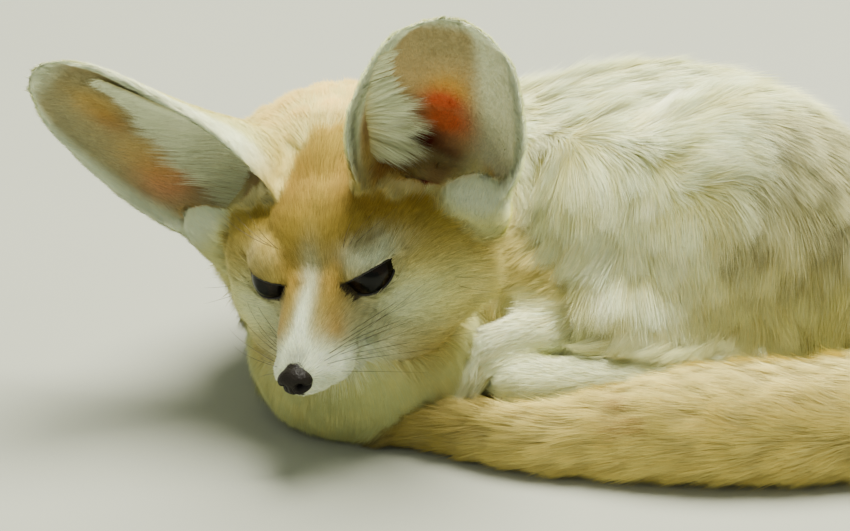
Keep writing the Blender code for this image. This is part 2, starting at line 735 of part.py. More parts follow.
def with_locks(node, coat, flow_at, skin, trees, rng, wanted=None):
    """Roots the coat's locks all over the node and joins them with it, clear of every other node."""
    depth, length, width, spacing = (value * MM for value in coat)
    locks = []
    for root, normal in lock_roots(node, spacing, skin, rng):
        if wanted and not wanted(root):
            continue
        flow = flow_at(root)
        flow = (flow - normal * flow.dot(normal)).normalized()
        flow = (flow + normal.cross(flow) * rng.uniform(-0.25, 0.25)).normalized()
        vary = rng.uniform(0.85, 1.15, 3)
        lowest = rng.uniform(*LOWEST_LOCK) * MM
        for share in (1, 0.75, 0.55):
            size = (length * vary[0] * share, width * vary[1] * (0.6 + 0.4 * share), depth * vary[2], lowest)
            trial = lock_mesh(root, normal, flow, size, skin, LOCK_CLEARANCE * MM)
            rings = lock_mesh(root, normal, flow, size, skin, 0)
            if trial is None or rings is None:
                continue
            swollen = lock_object("trial", trial)
            tree = tree_of(swollen)
            discard(swollen)
            if not any(tree.overlap(other) for name, other in trees.items() if name != node.name):
                locks.append(lock_object("lock", rings))
                break
    join_locks(node, locks, trees)
    trees[node.name] = tree_of(node)


def crossings(node, trees):
    """Places where the node's surface crosses another node's."""
    own = tree_of(node)
    hits = [hit for name, other in trees.items() if name != node.name for hit in own.overlap(other)]
    return [node.data.polygons[mine].center for mine, theirs in hits]


def join_locks(node, locks, trees):
    """One union of the node and its locks; a lock that grazes the rest is left out and the union made again."""
    bare = node.data
    already = len(faults(node))
    while locks:
        node.data = bare.copy()
        boolean(node, [duplicate(lock, "copy") for lock in locks], "UNION", "MANIFOLD")
        grazes = faults(node)[already:] + crossings(node, trees)
        if not grazes:
            break
        nearest = min(locks, key=lambda lock: tree_of(lock).find_nearest(grazes[-1])[3])
        locks.remove(nearest)
        discard(nearest)
    discard(*locks)


def comb(nodes):
    """Gives each long-haired node its locks."""
    whole = joined("whole", [duplicate(node, "copy") for node in nodes])
    skin = tree_of(whole)
    discard(whole)
    trees = {node.name: tree_of(node) for node in nodes}
    named = {node.name: node for node in nodes}
    flows = {"tail": tail_flow, "hind_leg_left": leg_flow, "hind_leg_right": leg_flow, "neck": neck_flow,
             "torso": torso_flow, "head": head_flow}
    wanted = {"head": on_cheeks, "neck": over_the_paws}
    rng = np.random.default_rng(SEED)
    for key, coat in COATS.items():
        for name in TAIL_NAMES if key == "tail" else [key]:
            with_locks(named[name], coat, flows[key], skin, trees, rng, wanted.get(key))


def on_cheeks(place):
    """True on the cheeks' long ruff, behind the eyes."""
    here = head_matrix().inverted() @ place / MM
    return abs(here.x) > 30 and here.y > -12 and here.z < 12


def over_the_paws(place):
    """True on the neck and the chest, but for the side that the hind foot lies against."""
    return place.x < -38 * MM or place.z > 45 * MM


def main():
    clear_scene()
    fox = collection("fennec_fox")
    nodes, cores = make_face()
    nodes += make_body(cores)
    discard(*cores.values())
    comb(nodes)
    for obj in nodes:
        turned(obj, Matrix.Translation(-mm(*UNDER_BELLY)))
        paint(obj)
        bpy.context.scene.collection.objects.unlink(obj)
        fox.objects.link(obj)


main()
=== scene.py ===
"""A life-size fennec fox, lying curled with its head up and its eyes half shut, in a full coat.

Everything is worked out in millimetres in the directions of the fox's own layout and placed in metres at the end.
The head points towards -X and -Y, the back lies towards +Y, and the floor is at z = 0.
"""

import functools
import math

import bmesh
import bpy
import numpy as np
from bpy.props import FloatProperty, FloatVectorProperty, IntProperty, PointerProperty
from mathutils import Euler, Matrix, Vector
from mathutils.bvhtree import BVHTree
from mathutils.kdtree import KDTree


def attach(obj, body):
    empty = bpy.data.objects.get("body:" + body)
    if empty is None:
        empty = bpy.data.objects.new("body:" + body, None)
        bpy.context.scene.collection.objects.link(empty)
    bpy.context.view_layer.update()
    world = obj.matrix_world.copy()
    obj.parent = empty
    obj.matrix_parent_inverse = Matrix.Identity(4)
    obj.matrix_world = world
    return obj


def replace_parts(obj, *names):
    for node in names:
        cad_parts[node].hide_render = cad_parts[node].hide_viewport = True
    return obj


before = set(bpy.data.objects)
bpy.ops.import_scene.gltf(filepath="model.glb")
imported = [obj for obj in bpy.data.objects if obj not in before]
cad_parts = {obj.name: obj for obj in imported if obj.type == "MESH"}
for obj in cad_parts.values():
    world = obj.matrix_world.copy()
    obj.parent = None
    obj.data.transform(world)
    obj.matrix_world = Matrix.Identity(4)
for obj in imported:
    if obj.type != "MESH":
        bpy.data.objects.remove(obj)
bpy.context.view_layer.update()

bl_info = {
    "name": "Fennec Fox",
    "version": (1, 0, 0),
    "blender": (4, 5, 0),
    "location": "3D View > Sidebar > Fennec",
    "description": "Builds a curled fennec fox with skin, coat, eyes, nose and whiskers",
    "category": "Object",
}

MM = 0.001
SIDES = ("left", "right")
UNDER_BELLY = np.array((40.0, 38.0, 0.0))
FLOOR_CLEARANCE = 0.4

# Hairs on facing sheets of skin are told apart by places this far out along the normals, in millimetres.
APART = 6.0
# How far guides sway and hairs stray from their way, how round a flat hair is shaded, and its patch on the unwrap.
SWAY = 0.12
STRAY = 0.10
ROUND_BY = 0.15
PATCH_SIZE = 0.003

# The head's place and turn, and what it carries, in its own directions: +X to its left, -Y to the nose, +Z up.
HEAD_PLACE = (-60, -38, 70)
HEAD_TURN = (20, -12, -22)
EYE_RADIUS = 9.6
EYE_PLACE = (18.3, -23, 4)
EYE_TURN = 26
LID_LENGTH = math.radians(75)
LID_HEIGHT = math.radians(27)
LID_SLANT = 13
NOSE_TIP = (0, -66, -11)
MUZZLE_ROWS = [(0, -20, -4, 22, 17), (0, -37, -8, 16, 13.5), (0, -51, -12, 12, 10), (0, -58, -13.5, 9.5, 8)]
JAW_ROWS = [(0, -8, -22, 17, 11), (0, -30, -21.5, 13, 7.5), (0, -47, -21.5, 8.5, 4.8), (0, -54, -21.2, 5.5, 3.6)]
MOUTH_ROUTE = [(0, -62, -20), (6, -58, -20.5), (11, -48, -21), (15, -37, -19.5), (17, -33, -17.5)]

EAR_LENGTH = 99
EAR_WALL = 3.2
EAR_PLACES = {"left": (30.5, -1, 8), "right": (-34.5, -2, 5)}
EAR_ROWS = [(-0.06, 38, 112), (0.05, 42, 108), (0.14, 45, 100), (0.25, 45.5, 91), (0.4, 40, 70), (0.55, 34.5, 55),
            (0.7, 29.5, 47), (0.84, 23.5, 40), (0.94, 15, 35), (1.0, 5, 30)]
EAR_TIPS = {"left": (0.491, -0.074, 0.881), "right": (-0.619, -0.021, 0.786)}
EAR_MOUTHS = {"left": (0.20, -0.97, 0.0), "right": (-0.08, -0.99, -0.09)}

# The soft lobe that closes the foot of each cup: its place outward, ahead and along the ear, and its radii.
LOBES = [((18, -4, 7), (13, 8, 17)), ((-2, -7, 1), (18, 8, 9)), ((4, -18, -5), (22, 15, 10))]

# Body forms: each row of a loft is a centre and the half width and half height of the body there, coat included.
TORSO_ROWS = [(-56, 38, 55, 38, 39), (-36, 50, 50, 46, 45), (2, 52, 48, 49, 49), (44, 40, 53, 47, 58),
              (82, 22, 53, 45, 55), (112, 2, 43, 36, 42), (130, -16, 34, 24, 30)]
FLANK = ((12, 12, 34), (52, 34, 35))
NECK_ROWS = [(-64, -20, 62, 36, 32), (-64, -4, 66, 52, 47), (-59, 18, 60, 51, 49), (-54, 36, 54, 44, 44)]
CHEST = ((-56, -26, 27), (42, 43, 35))
TAIL_ROWS = [(130, -22, 32, 16, 17), (146, -46, 25, 21, 22), (138, -72, 22, 21.5, 22), (105, -84, 21, 21, 21),
             (65, -87, 20.5, 20.5, 20.5), (30, -83, 15, 15.5, 15), (2, -79, 12, 12.5, 12), (-20, -66, 10, 10.5, 10),
             (-44, -57, 8, 8.5, 8), (-66, -52, 6.5, 6, 6.5)]
THIGH = {"left": ((77, -6, 60), (52, 32, 57)), "right": ((72, 66, 40), (46, 27, 40))}
HAUNCH_FRONT = ((34, 8, 66), (31, 29, 38))
KNEE = {"left": ((40, -20, 36), (22, 20, 26)), "right": ((36, 84, 24), (20, 17, 22))}
SHANK = {"left": [(40, -26, 27, 15, 15), (64, -26, 27, 13, 14), (82, -24, 27, 11, 13)],
         "right": [(36, 86, 18, 13, 14), (60, 84, 18, 12, 13), (78, 78, 18, 11, 12)]}
HIND_FOOT = {"left": [(82, -35, 23, 8, 10), (55, -42, 19, 9, 9), (22, -43, 18, 10, 9), (2, -43, 17, 12, 10)],
             "right": [(84, 86, 11, 8, 10), (52, 97, 10, 8, 9), (20, 101, 9, 9, 8), (4, 101, 9, 11, 8)]}
UPPER_ARM = {"left": [(-8, 8, 50, 18, 20), (12, -8, 40, 17, 18), (24, -14, 31, 13, 14)],
             "right": [(-80, 46, 44, 14, 18), (-87, 42, 32, 13, 15), (-88, 34, 22, 11, 12)]}
FOREARM = {"left": [(24, -15, 29, 12, 12), (4, -27, 30, 10, 10.5), (-16, -36, 24, 9, 9), (-28, -42, 14, 8, 8)],
           "right": [(-88, 32, 22, 10, 11), (-90, 8, 15, 9, 9.5), (-87, -10, 10, 8, 8.5), (-85, -16, 9, 8, 8)]}
FOREPAW = {"left": [(-29, -43, 13, 8, 8), (-40, -42, 9, 9.5, 8), (-46, -40, 8.5, 10, 7.5)],
           "right": [(-85, -16, 9, 8, 8), (-80, -25, 8.5, 10, 7.5), (-77, -30, 8.5, 10, 7.5)]}

# The centre of the whorl on the near haunch in the plane that the camera sees, across and up, and its way up.
WHORL = (68.4, 68.8)
VIEW_RISE = np.array((0, 0.342, 0.94))

# Places on the tail where locks end in dark brown, each with its radii.
STREAKS = [((48, -99, 27), (11, 12, 6)), ((73, -99, 28), (5, 12, 5)), ((97, -99, 30), (4, 12, 4))]

# The fringe of each ear: where along the ear and where round it its hairs root, how many tufts they make, and how
# long they are, how far they rise towards the ear's tip at the root and further up, and how they droop.
FRINGES = {
    "left": {"thousands": 8, "shares": (-0.10, 0.78), "fold": (-0.66, -0.42), "taper": 0.0, "slant": 0.6, "tufts": 60,
             "middle": 0.25, "length": 0.62, "rise": (-1.0, 1.3), "droop": -0.2, "cling": False},
    "right": {"thousands": 16, "shares": (0.0, 0.80), "fold": (-0.68, 0.62), "taper": 0.70, "slant": 0.0, "tufts": 70,
              "middle": 0.30, "length": 0.66, "rise": (2.2, 2.8), "droop": -0.05, "cling": True},
}

# Spots of colour inside each ear: paint, strength, place along and round the ear, and size along and round it.
# Many spots are painted light and shade. In the left ear, the reddish and orange spots paint the glow of light
# shining through the thin skin, and the brown streak along its inner edge paints the fold's shadow. The darkest spots
# at the foot of each cup paint the shade in its deepest part. The right ear's first, broad spot paints the shade over
# its whole cup.
EAR_SPOTS = {
    "left": [("dusk_and_shade", 0.55, (0.84, -0.05), (0.16, 0.90)), ("orange", 0.75, (0.50, 0.02), (0.11, 0.22)),
             ("red", 1.0, (0.38, -0.02), (0.11, 0.20)), ("red", 0.9, (0.22, 0.02), (0.10, 0.20)),
             ("canal_shadow", 1.0, (0.10, -0.16), (0.07, 0.20)), ("canal_shadow", 0.8, (0.03, 0.10), (0.06, 0.20)),
             ("brown", 0.6, (0.32, -0.70), (0.30, 0.04)), ("amber", 0.9, (0.11, 0.66), (0.035, 0.16)),
             ("dark", 0.9, (0.01, -0.42), (0.07, 0.22))],
    "right": [("dusk_and_shade", 0.90, (0.55, 0.2), (0.60, 1.60)), ("brown", 0.80, (0.66, 0.34), (0.08, 0.13)),
              ("orange", 0.40, (0.74, 0.25), (0.10, 0.26)), ("red", 0.50, (0.36, 0.62), (0.11, 0.20)),
              ("orange", 0.45, (0.46, 0.50), (0.16, 0.22)), ("amber", 0.85, (0.22, 0.80), (0.03, 0.07)),
              ("canal_shadow", 0.7, (0.06, 0.12), (0.06, 0.36)), ("brown", 0.5, (0.10, -0.30), (0.10, 0.30)),
              ("brown", 0.8, (0.04, 0.36), (0.06, 0.22))],
}

# How deep the skin lies under the outline of the coat.
CORE_DEPTH = {"tail": 4, "hind_leg": 3.5, "neck": 4, "torso": 4, "ruff": 4, "chest": 3}
REGIONS = ["head", "ear_left", "ear_right", "neck", "torso", "hind_leg_left", "hind_leg_right", "foreleg_left",
           "foreleg_right", "hind_foot_left", "hind_foot_right", "forepaw_left", "forepaw_right", "tail"]
FLESH = ["head", "ear_left", "ear_right", "neck", "torso", "hind_leg_left", "hind_leg_right", "foreleg_left",
         "foreleg_right", "hind_foot_left", "hind_foot_right", "forepaw_left", "forepaw_right", "tail_root",
         "tail_middle", "tail_end", "tail_tip"]


# Numbers on many points at once

def ramp(values, start, end):
    """0 before start, 1 after end, and an even soft rise between."""
    share = np.clip((values - start) / (end - start), 0, 1)
    return share * share * (3 - 2 * share)


def blob(points, centre, radii):
    """1 at the centre of an ellipsoid, fading softly to 0 a little past its radii."""
    away = (points - np.array(centre, float)) / np.array(radii, float)
    return np.exp(-(away ** 2).sum(axis=1))


def unit(vectors):
    return vectors / np.maximum(np.linalg.norm(vectors, axis=-1, keepdims=True), 1e-9)


def level(vectors, normals):
    """The vectors laid flat on the surface."""
    return unit(vectors - normals * (vectors * normals).sum(axis=1, keepdims=True))


def blended(base, other, share):
    """Rows of base turned into other by each row's share."""
    share = np.asarray(share)[:, None]
    return base * (1 - share) + np.asarray(other) * share


def painted(base, *layers):
    """Rows of base under layers, each a colour and its share of every row."""
    for colour, share in layers:
        base = blended(base, colour, share)
    return base


def catmull(rows, count):
    """Rows read at even steps from a smooth curve through the given rows."""
    rows = np.array(rows, float)
    ends = np.vstack([2 * rows[0] - rows[1], rows, 2 * rows[-1] - rows[-2]])
    places = np.linspace(0, len(rows) - 1, count)
    start = np.minimum(places.astype(int), len(rows) - 2)
    f = (places - start)[:, None]
    a, b, c, d = (ends[start + k] for k in range(4))
    return b + 0.5 * f * (c - a + f * (2 * a - 5 * b + 4 * c - d + f * (3 * (b - c) + d - a)))


def along(points, rows):
    """The direction of a route at the station nearest to each point."""
    stations = catmull(rows, 60)[:, :3]
    nearest = np.argmin(((points[:, None, :] - stations[None, :-1, :]) ** 2).sum(axis=2), axis=1)
    return unit(stations[nearest + 1] - stations[nearest])


def route_distance(points, route):
    """How far each point is from a line of straight stretches."""
    best = np.full(len(points), 1e9)
    for a, b in zip(route[:-1], route[1:]):
        step = b - a
        share = np.clip(((points - a) @ step) / (step @ step), 0, 1)[:, None]
        best = np.minimum(best, np.linalg.norm(points - a - share * step, axis=1))
    return best


def placed(points):
    """From the layout's millimetres to the frame's metres."""
    return (np.asarray(points, float) - UNDER_BELLY) * MM


# The head's and the ears' own directions

def head_matrix():
    pitch, roll, yaw = (math.radians(angle) for angle in HEAD_TURN)
    turn = Matrix.Rotation(yaw, 4, "Z") @ Matrix.Rotation(pitch, 4, "X") @ Matrix.Rotation(roll, 4, "Y")
    return np.array(Matrix.Translation(HEAD_PLACE) @ turn)


def ear_matrix(side):
    """From the ear's own directions, its length along +Z and its mouth towards -Y, to the head's."""
    up = Vector(EAR_TIPS[side]).normalized()
    mouth = Vector(EAR_MOUTHS[side])
    mouth = (mouth - up * mouth.dot(up)).normalized()
    across = (-mouth).cross(up)
    turn = Matrix((across, -mouth, up)).transposed()
    return np.array(Matrix.Translation(EAR_PLACES[side]) @ turn.to_4x4())


def moved(points, matrix):
    return np.asarray(points, float) @ matrix[:3, :3].T + matrix[:3, 3]


def turned(vectors, matrix):
    return np.asarray(vectors, float) @ matrix[:3, :3].T


def mirrored(point, side):
    return (point[0] if side == "left" else -point[0], *point[1:])


def eye_turn(side):
    sign = 1 if side == "left" else -1
    outward = Matrix.Rotation(math.radians(sign * EYE_TURN), 3, "Z")
    slant = Matrix.Rotation(math.radians(-sign * LID_SLANT), 3, "Y")
    return np.array(outward @ slant)


def lid_ring(side, reach, count=40):
    """Points of the almond between the lids, in the head's directions, this far from the eye's centre."""
    angle = np.linspace(0, 2 * math.pi, count, endpoint=False)
    across = LID_LENGTH * np.cos(angle)
    rise = LID_HEIGHT * np.sin(angle) * (1 - 0.25 * np.cos(angle) ** 2)
    ahead = np.stack([np.sin(across) * np.cos(rise), -np.cos(across) * np.cos(rise), np.sin(rise)], axis=1)
    return np.array(mirrored(EYE_PLACE, side)) + ahead @ eye_turn(side).T * reach


def almond(points, side):
    """Below 1 inside the opening between the lids, seen from the eye's centre; and the distance from that centre."""
    away = points - np.array(mirrored(EYE_PLACE, side))
    reach = np.linalg.norm(away, axis=1)
    ahead = (away / reach[:, None]) @ eye_turn(side)
    across = np.arctan2(ahead[:, 0], -ahead[:, 1])
    rise = np.arcsin(np.clip(ahead[:, 2], -1, 1))
    share = across / LID_LENGTH
    height = LID_HEIGHT * (1 - 0.25 * np.clip(share, -1, 1) ** 2)
    return np.sqrt(share ** 2 + (rise / height) ** 2), reach


def ear_size(share):
    """The radius of the ear's scoop and the angle its wall spans to each side, at each place along the ear."""
    rows = catmull(EAR_ROWS, 80)
    order = np.argsort(rows[:, 0])
    half = np.interp(share, rows[order, 0], rows[order, 1])
    spread = np.radians(np.interp(share, rows[order, 0], rows[order, 2]))
    return half / spread, spread


def ear_reading(points, side):
    """Along the ear, 0 root to 1 tip; round it, -1 to 1 edge to edge; and out of its wall, inside below 0."""
    local = moved(moved(points, np.linalg.inv(head_matrix())), np.linalg.inv(ear_matrix(side)))
    share = local[:, 2] / EAR_LENGTH
    radius, spread = ear_size(share)
    inward = local[:, 1] + radius * np.cos(spread)
    across = np.arctan2(local[:, 0], inward) / spread
    return share, across, np.hypot(local[:, 0], inward) - radius


def out_of_cups(points):
    """The points that lie inside an ear's cup moved into the wall behind it."""
    for side in SIDES:
        to_ear = np.linalg.inv(head_matrix() @ ear_matrix(side))
        share, across, wall = ear_reading(points, side)
        inside = (share > -0.1) & (share < 0.9) & (np.abs(across) < 1) & (wall < 0)
        local = moved(points, to_ear)
        radius, spread = ear_size(share)
        centre = -radius * np.cos(spread)
        reach = np.hypot(local[:, 0], local[:, 1] - centre)
        scale = radius / np.maximum(reach, 1e-6)
        pushed = np.stack([local[:, 0] * scale, centre + (local[:, 1] - centre) * scale, local[:, 2]], axis=1)
        points = np.where(inside[:, None], moved(pushed, np.linalg.inv(to_ear)), points)
    return points


def outer_sign(side):
    """+1 if the ear's own +X points away from the crown."""
    sideways = ear_matrix(side)[:3, 0][0]
    return np.sign(sideways) * (1 if side == "left" else -1)


# Source forms of the skin

class Forms:
    """Overlapping closed forms, each with the number of its region."""

    def __init__(self):
        self.corners, self.faces, self.regions = [], [], []

    def add(self, region, corners, faces, matrix=None):
        base = len(self.corners)
        corners = moved(corners, matrix) if matrix is not None else np.asarray(corners)
        self.corners.extend(corners.tolist())
        self.faces.extend([tuple(base + k for k in face) for face in faces])
        self.regions.extend([REGIONS.index(region)] * len(corners))

    def rings(self, region, rings, matrix=None):
        """A closed form through rings of equal counts."""
        count = len(rings[0])
        faces = []
        for row in range(len(rings) - 1):
            for k in range(count):
                n = (k + 1) % count
                faces.append((row * count + k, row * count + n, (row + 1) * count + n, (row + 1) * count + k))
        faces.append(tuple(range(count))[::-1])
        faces.append(tuple(range((len(rings) - 1) * count, len(rings) * count)))
        self.add(region, np.concatenate(rings), faces, matrix)

    def loft(self, region, rows, matrix=None, steps=48, sides=36, inset=0):
        rows = np.array([(x, y, z - inset / 2, w - inset, h - inset / 2) for x, y, z, w, h in rows])
        read = catmull(rows, steps)
        places, halves = read[:, :3], read[:, 3:]
        ahead = unit(np.gradient(places, axis=0))
        stations = []
        for end, sign in ((0, -1), (-1, 1)):
            cap = []
            for step in range(1, 6):
                angle = 0.5 * math.pi * step / 6
                reach = sign * math.sin(angle) * halves[end].min()
                cap.append((places[end] + ahead[end] * reach, ahead[end], halves[end] * math.cos(angle)))
            stations.append(cap)
        angles = np.linspace(0, 2 * math.pi, sides, endpoint=False)[:, None]
        rings = []
        for centre, forward, (width, height) in stations[0][::-1] + list(zip(places, ahead, halves)) + stations[1]:
            side = unit(np.cross(forward, (0, 0, 1)))
            up = np.cross(side, forward)
            rings.append(centre + side * width * np.cos(angles) + up * height * np.sin(angles))
        self.rings(region, rings, matrix)

    def ellipsoid(self, region, centre, radii, matrix=None, inset=0, yaw=0, segments=36):
        centre = np.array(centre, float) - (0, 0, inset / 2)
        radii = np.array(radii, float) - (inset, inset, inset / 2)
        turns = np.linspace(0, 2 * math.pi, segments, endpoint=False)
        rise = np.linspace(-0.495 * math.pi, 0.495 * math.pi, segments // 2)
        turn = np.array(Euler((0, 0, yaw)).to_matrix())
        rings = []
        for angle in rise:
            ring = np.stack([np.cos(turns) * math.cos(angle), np.sin(turns) * math.cos(angle),
                             np.full(segments, math.sin(angle))], axis=1)
            rings.append(centre + (ring * radii) @ turn.T)
        self.rings(region, rings, matrix)

    def ear(self, side, matrix):
        """A scoop with a wall, thinner towards its edge."""
        rows = catmull(EAR_ROWS, 60)
        across = np.linspace(-1, 1, 40)
        sheets = []
        for way in (1, -1):
            for share, half, angle in rows:
                spread = math.radians(angle)
                radius = half / spread
                wall = 0.5 * EAR_WALL * way * (1 - 0.35 * np.abs(across) ** 6) * (1 - 0.3 * max(0, share) ** 8)
                reach = radius + wall
                sheets.append(np.stack([reach * np.sin(spread * across),
                                        reach * np.cos(spread * across) - radius * math.cos(spread),
                                        np.full(len(across), share * EAR_LENGTH)], axis=1))
        tall, wide = len(rows), len(across)
        faces = []
        for base, flip in ((0, False), (tall * wide, True)):
            for r in range(tall - 1):
                for k in range(wide - 1):
                    low, high = base + r * wide + k, base + (r + 1) * wide + k
                    face = (low, low + 1, high + 1, high)
                    faces.append(face[::-1] if flip else face)
        back = tall * wide
        for r in range(tall - 1):
            for k, flip in ((0, False), (wide - 1, True)):
                face = (r * wide + k, (r + 1) * wide + k, back + (r + 1) * wide + k, back + r * wide + k)
                faces.append(face[::-1] if flip else face)
        for k in range(wide - 1):
            for r, flip in ((0, True), (tall - 1, False)):
                face = (r * wide + k, r * wide + k + 1, back + r * wide + k + 1, back + r * wide + k)
                faces.append(face[::-1] if flip else face)
        self.add("ear_" + side, np.concatenate(sheets), faces, matrix @ ear_matrix(side))


def head_forms(forms):
    head = head_matrix()
    forms.ellipsoid("head", (0, 4, 1), (34, 37, 28), head)
    forms.ellipsoid("head", (0, 14, 10), (28, 28, 24), head)
    forms.loft("head", MUZZLE_ROWS, head)
    forms.loft("head", JAW_ROWS, head)
    for sign in (1, -1):
        forms.ellipsoid("head", (sign * 25, -6, -12), (23, 25, 20), head)
        forms.ellipsoid("head", (sign * 27, -5, 0), (19, 23, 19), head)
        forms.ellipsoid("head", (sign * 39, 1, -9), (17, 19, 25), head, inset=CORE_DEPTH["ruff"])
        forms.ellipsoid("head", (sign * 21, -12, -21), (21, 24, 15), head)
        forms.ellipsoid("head", (sign * EYE_PLACE[0], *EYE_PLACE[1:]), (EYE_RADIUS + 2,) * 3, head)
        forms.ellipsoid("head", (sign * 15, -21, 9.5), (11.5, 7.5, 4), head)
        forms.ellipsoid("head", (sign * 8, -49, -16), (7, 11, 6), head)
    for side in SIDES:
        forms.ear(side, head)
        lateral = outer_sign(side)
        for (out, ahead, rise), radii in LOBES:
            forms.ellipsoid("ear_" + side, (lateral * out, -ahead, rise), radii, head @ ear_matrix(side))


def toe_forms(forms, region, route):
    """Four rounded toes side by side at the end of a foot."""
    end, before = np.array(route[-2:][::-1], float)
    ahead = unit((end - before)[:3])
    side = np.cross(ahead, (0, 0, 1))
    yaw = math.atan2(ahead[1], ahead[0])
    for k in range(4):
        share = (k + 0.5) / 4 * 2 - 1
        centre = end[:3] + side * share * end[3] * 0.78 + ahead * 0.45 * end[3] * (1 - share * share)
        forms.ellipsoid(region, centre, (end[3] * 0.75, end[3] * 0.32, end[4] * 0.86), yaw=yaw, segments=16)


def body_forms(forms):
    forms.loft("tail", TAIL_ROWS, steps=90, inset=CORE_DEPTH["tail"])
    for side in SIDES:
        forms.ellipsoid("hind_leg_" + side, *THIGH[side], inset=CORE_DEPTH["hind_leg"], segments=48)
        forms.ellipsoid("hind_leg_" + side, *KNEE[side])
        forms.loft("hind_leg_" + side, SHANK[side])
        forms.loft("foreleg_" + side, UPPER_ARM[side])
        forms.loft("foreleg_" + side, FOREARM[side])
        for region, route in (("hind_foot_", HIND_FOOT[side]), ("forepaw_", FOREPAW[side])):
            forms.loft(region + side, route)
            toe_forms(forms, region + side, route)
    begin = len(forms.corners)
    forms.loft("neck", NECK_ROWS, inset=CORE_DEPTH["neck"], sides=60)
    forms.corners[begin:] = out_of_cups(np.array(forms.corners[begin:])).tolist()
    forms.ellipsoid("neck", *CHEST, inset=CORE_DEPTH["chest"], segments=60)
    forms.loft("torso", TORSO_ROWS, inset=CORE_DEPTH["torso"], steps=70, sides=70)
    forms.ellipsoid("torso", *FLANK, segments=48)
    forms.ellipsoid("hind_leg_left", *HAUNCH_FRONT, inset=CORE_DEPTH["hind_leg"], segments=48)


# The skin as arrays

class Skin:
    """The skin's corners, faces and what is known at each corner."""

    def __init__(self, corners, triangles):
        self.corners, self.triangles = corners, triangles
        self.measure()

    def measure(self):
        a, b, c = (self.corners[self.triangles[:, k]] for k in range(3))
        across = np.cross(b - a, c - a)
        self.areas = np.linalg.norm(across, axis=1) / 2
        normals = np.stack([np.bincount(self.triangles.ravel(), np.repeat(across[:, k], 3), len(self.corners))
                            for k in range(3)], axis=1)
        self.normals = unit(normals)

    def link(self):
        """Pairs of neighbours and how many each corner has."""
        pairs = np.sort(np.concatenate([self.triangles[:, [0, 1]], self.triangles[:, [1, 2]],
                                        self.triangles[:, [2, 0]]]), axis=1)
        self.pairs = np.unique(pairs, axis=0)
        self.counts = np.bincount(self.pairs.ravel(), minlength=len(self.corners))

    def evened(self, values, rounds, factor=0.5):
        """The values averaged with their neighbours' over the surface."""
        values = values.astype(float)
        one, two = self.pairs[:, 0], self.pairs[:, 1]
        factor = np.broadcast_to(np.asarray(factor, float), (len(values),))
        for _ in range(rounds):
            total = np.stack([np.bincount(one, column[two], len(column)) + np.bincount(two, column[one], len(column))
                              for column in values.T], axis=1)
            values = values + factor[:, None] * (total / self.counts[:, None] - values)
        return values


def remeshed(forms, voxel, finer_face=True):
    """One closed surface round all the forms, as corners and triangles."""
    mesh = bpy.data.meshes.new("forms")
    mesh.from_pydata((np.array(forms.corners) * MM).tolist(), [], forms.faces)
    obj = bpy.data.objects.new("forms", mesh)
    bpy.context.scene.collection.objects.link(obj)
    step = obj.modifiers.new("one surface", "REMESH")
    step.mode = "VOXEL"
    step.voxel_size = voxel * MM
    bpy.context.view_layer.update()
    done = bpy.data.meshes.new_from_object(obj.evaluated_get(bpy.context.evaluated_depsgraph_get()))
    shape = bmesh.new()
    shape.from_mesh(done)
    head = np.linalg.inv(head_matrix())
    fine = []
    for edge in shape.edges:
        middle = head[:3, :3] @ (np.array((edge.verts[0].co + edge.verts[1].co) / 2) / MM) + head[:3, 3]
        if finer_face and middle[1] < -8 and abs(middle[0]) < 44 and -34 < middle[2] < 30:
            fine.append(edge)
    bmesh.ops.subdivide_edges(shape, edges=fine, cuts=1, use_grid_fill=True)
    bmesh.ops.triangulate(shape, faces=shape.faces)
    shape.to_mesh(done)
    shape.free()
    corners = np.empty(len(done.vertices) * 3)
    done.vertices.foreach_get("co", corners)
    triangles = np.empty(len(done.polygons) * 3, int)
    done.polygons.foreach_get("vertices", triangles)
    bpy.data.objects.remove(obj)
    bpy.data.meshes.remove(done)
    return Skin(corners.reshape(-1, 3) / MM, triangles.reshape(-1, 3))


def shares_of_regions(skin, forms):
    """How much of each region every corner belongs to, blended softly where regions meet."""
    tree = KDTree(len(forms.corners))
    for index, corner in enumerate(forms.corners):
        tree.insert(corner, index)
    tree.balance()
    regions = np.array(forms.regions)
    nearest = np.array([tree.find(corner)[1] for corner in skin.corners])
    shares = np.zeros((len(skin.corners), len(REGIONS)))
    shares[np.arange(len(nearest)), regions[nearest]] = 1
    return skin.evened(shares, 6)


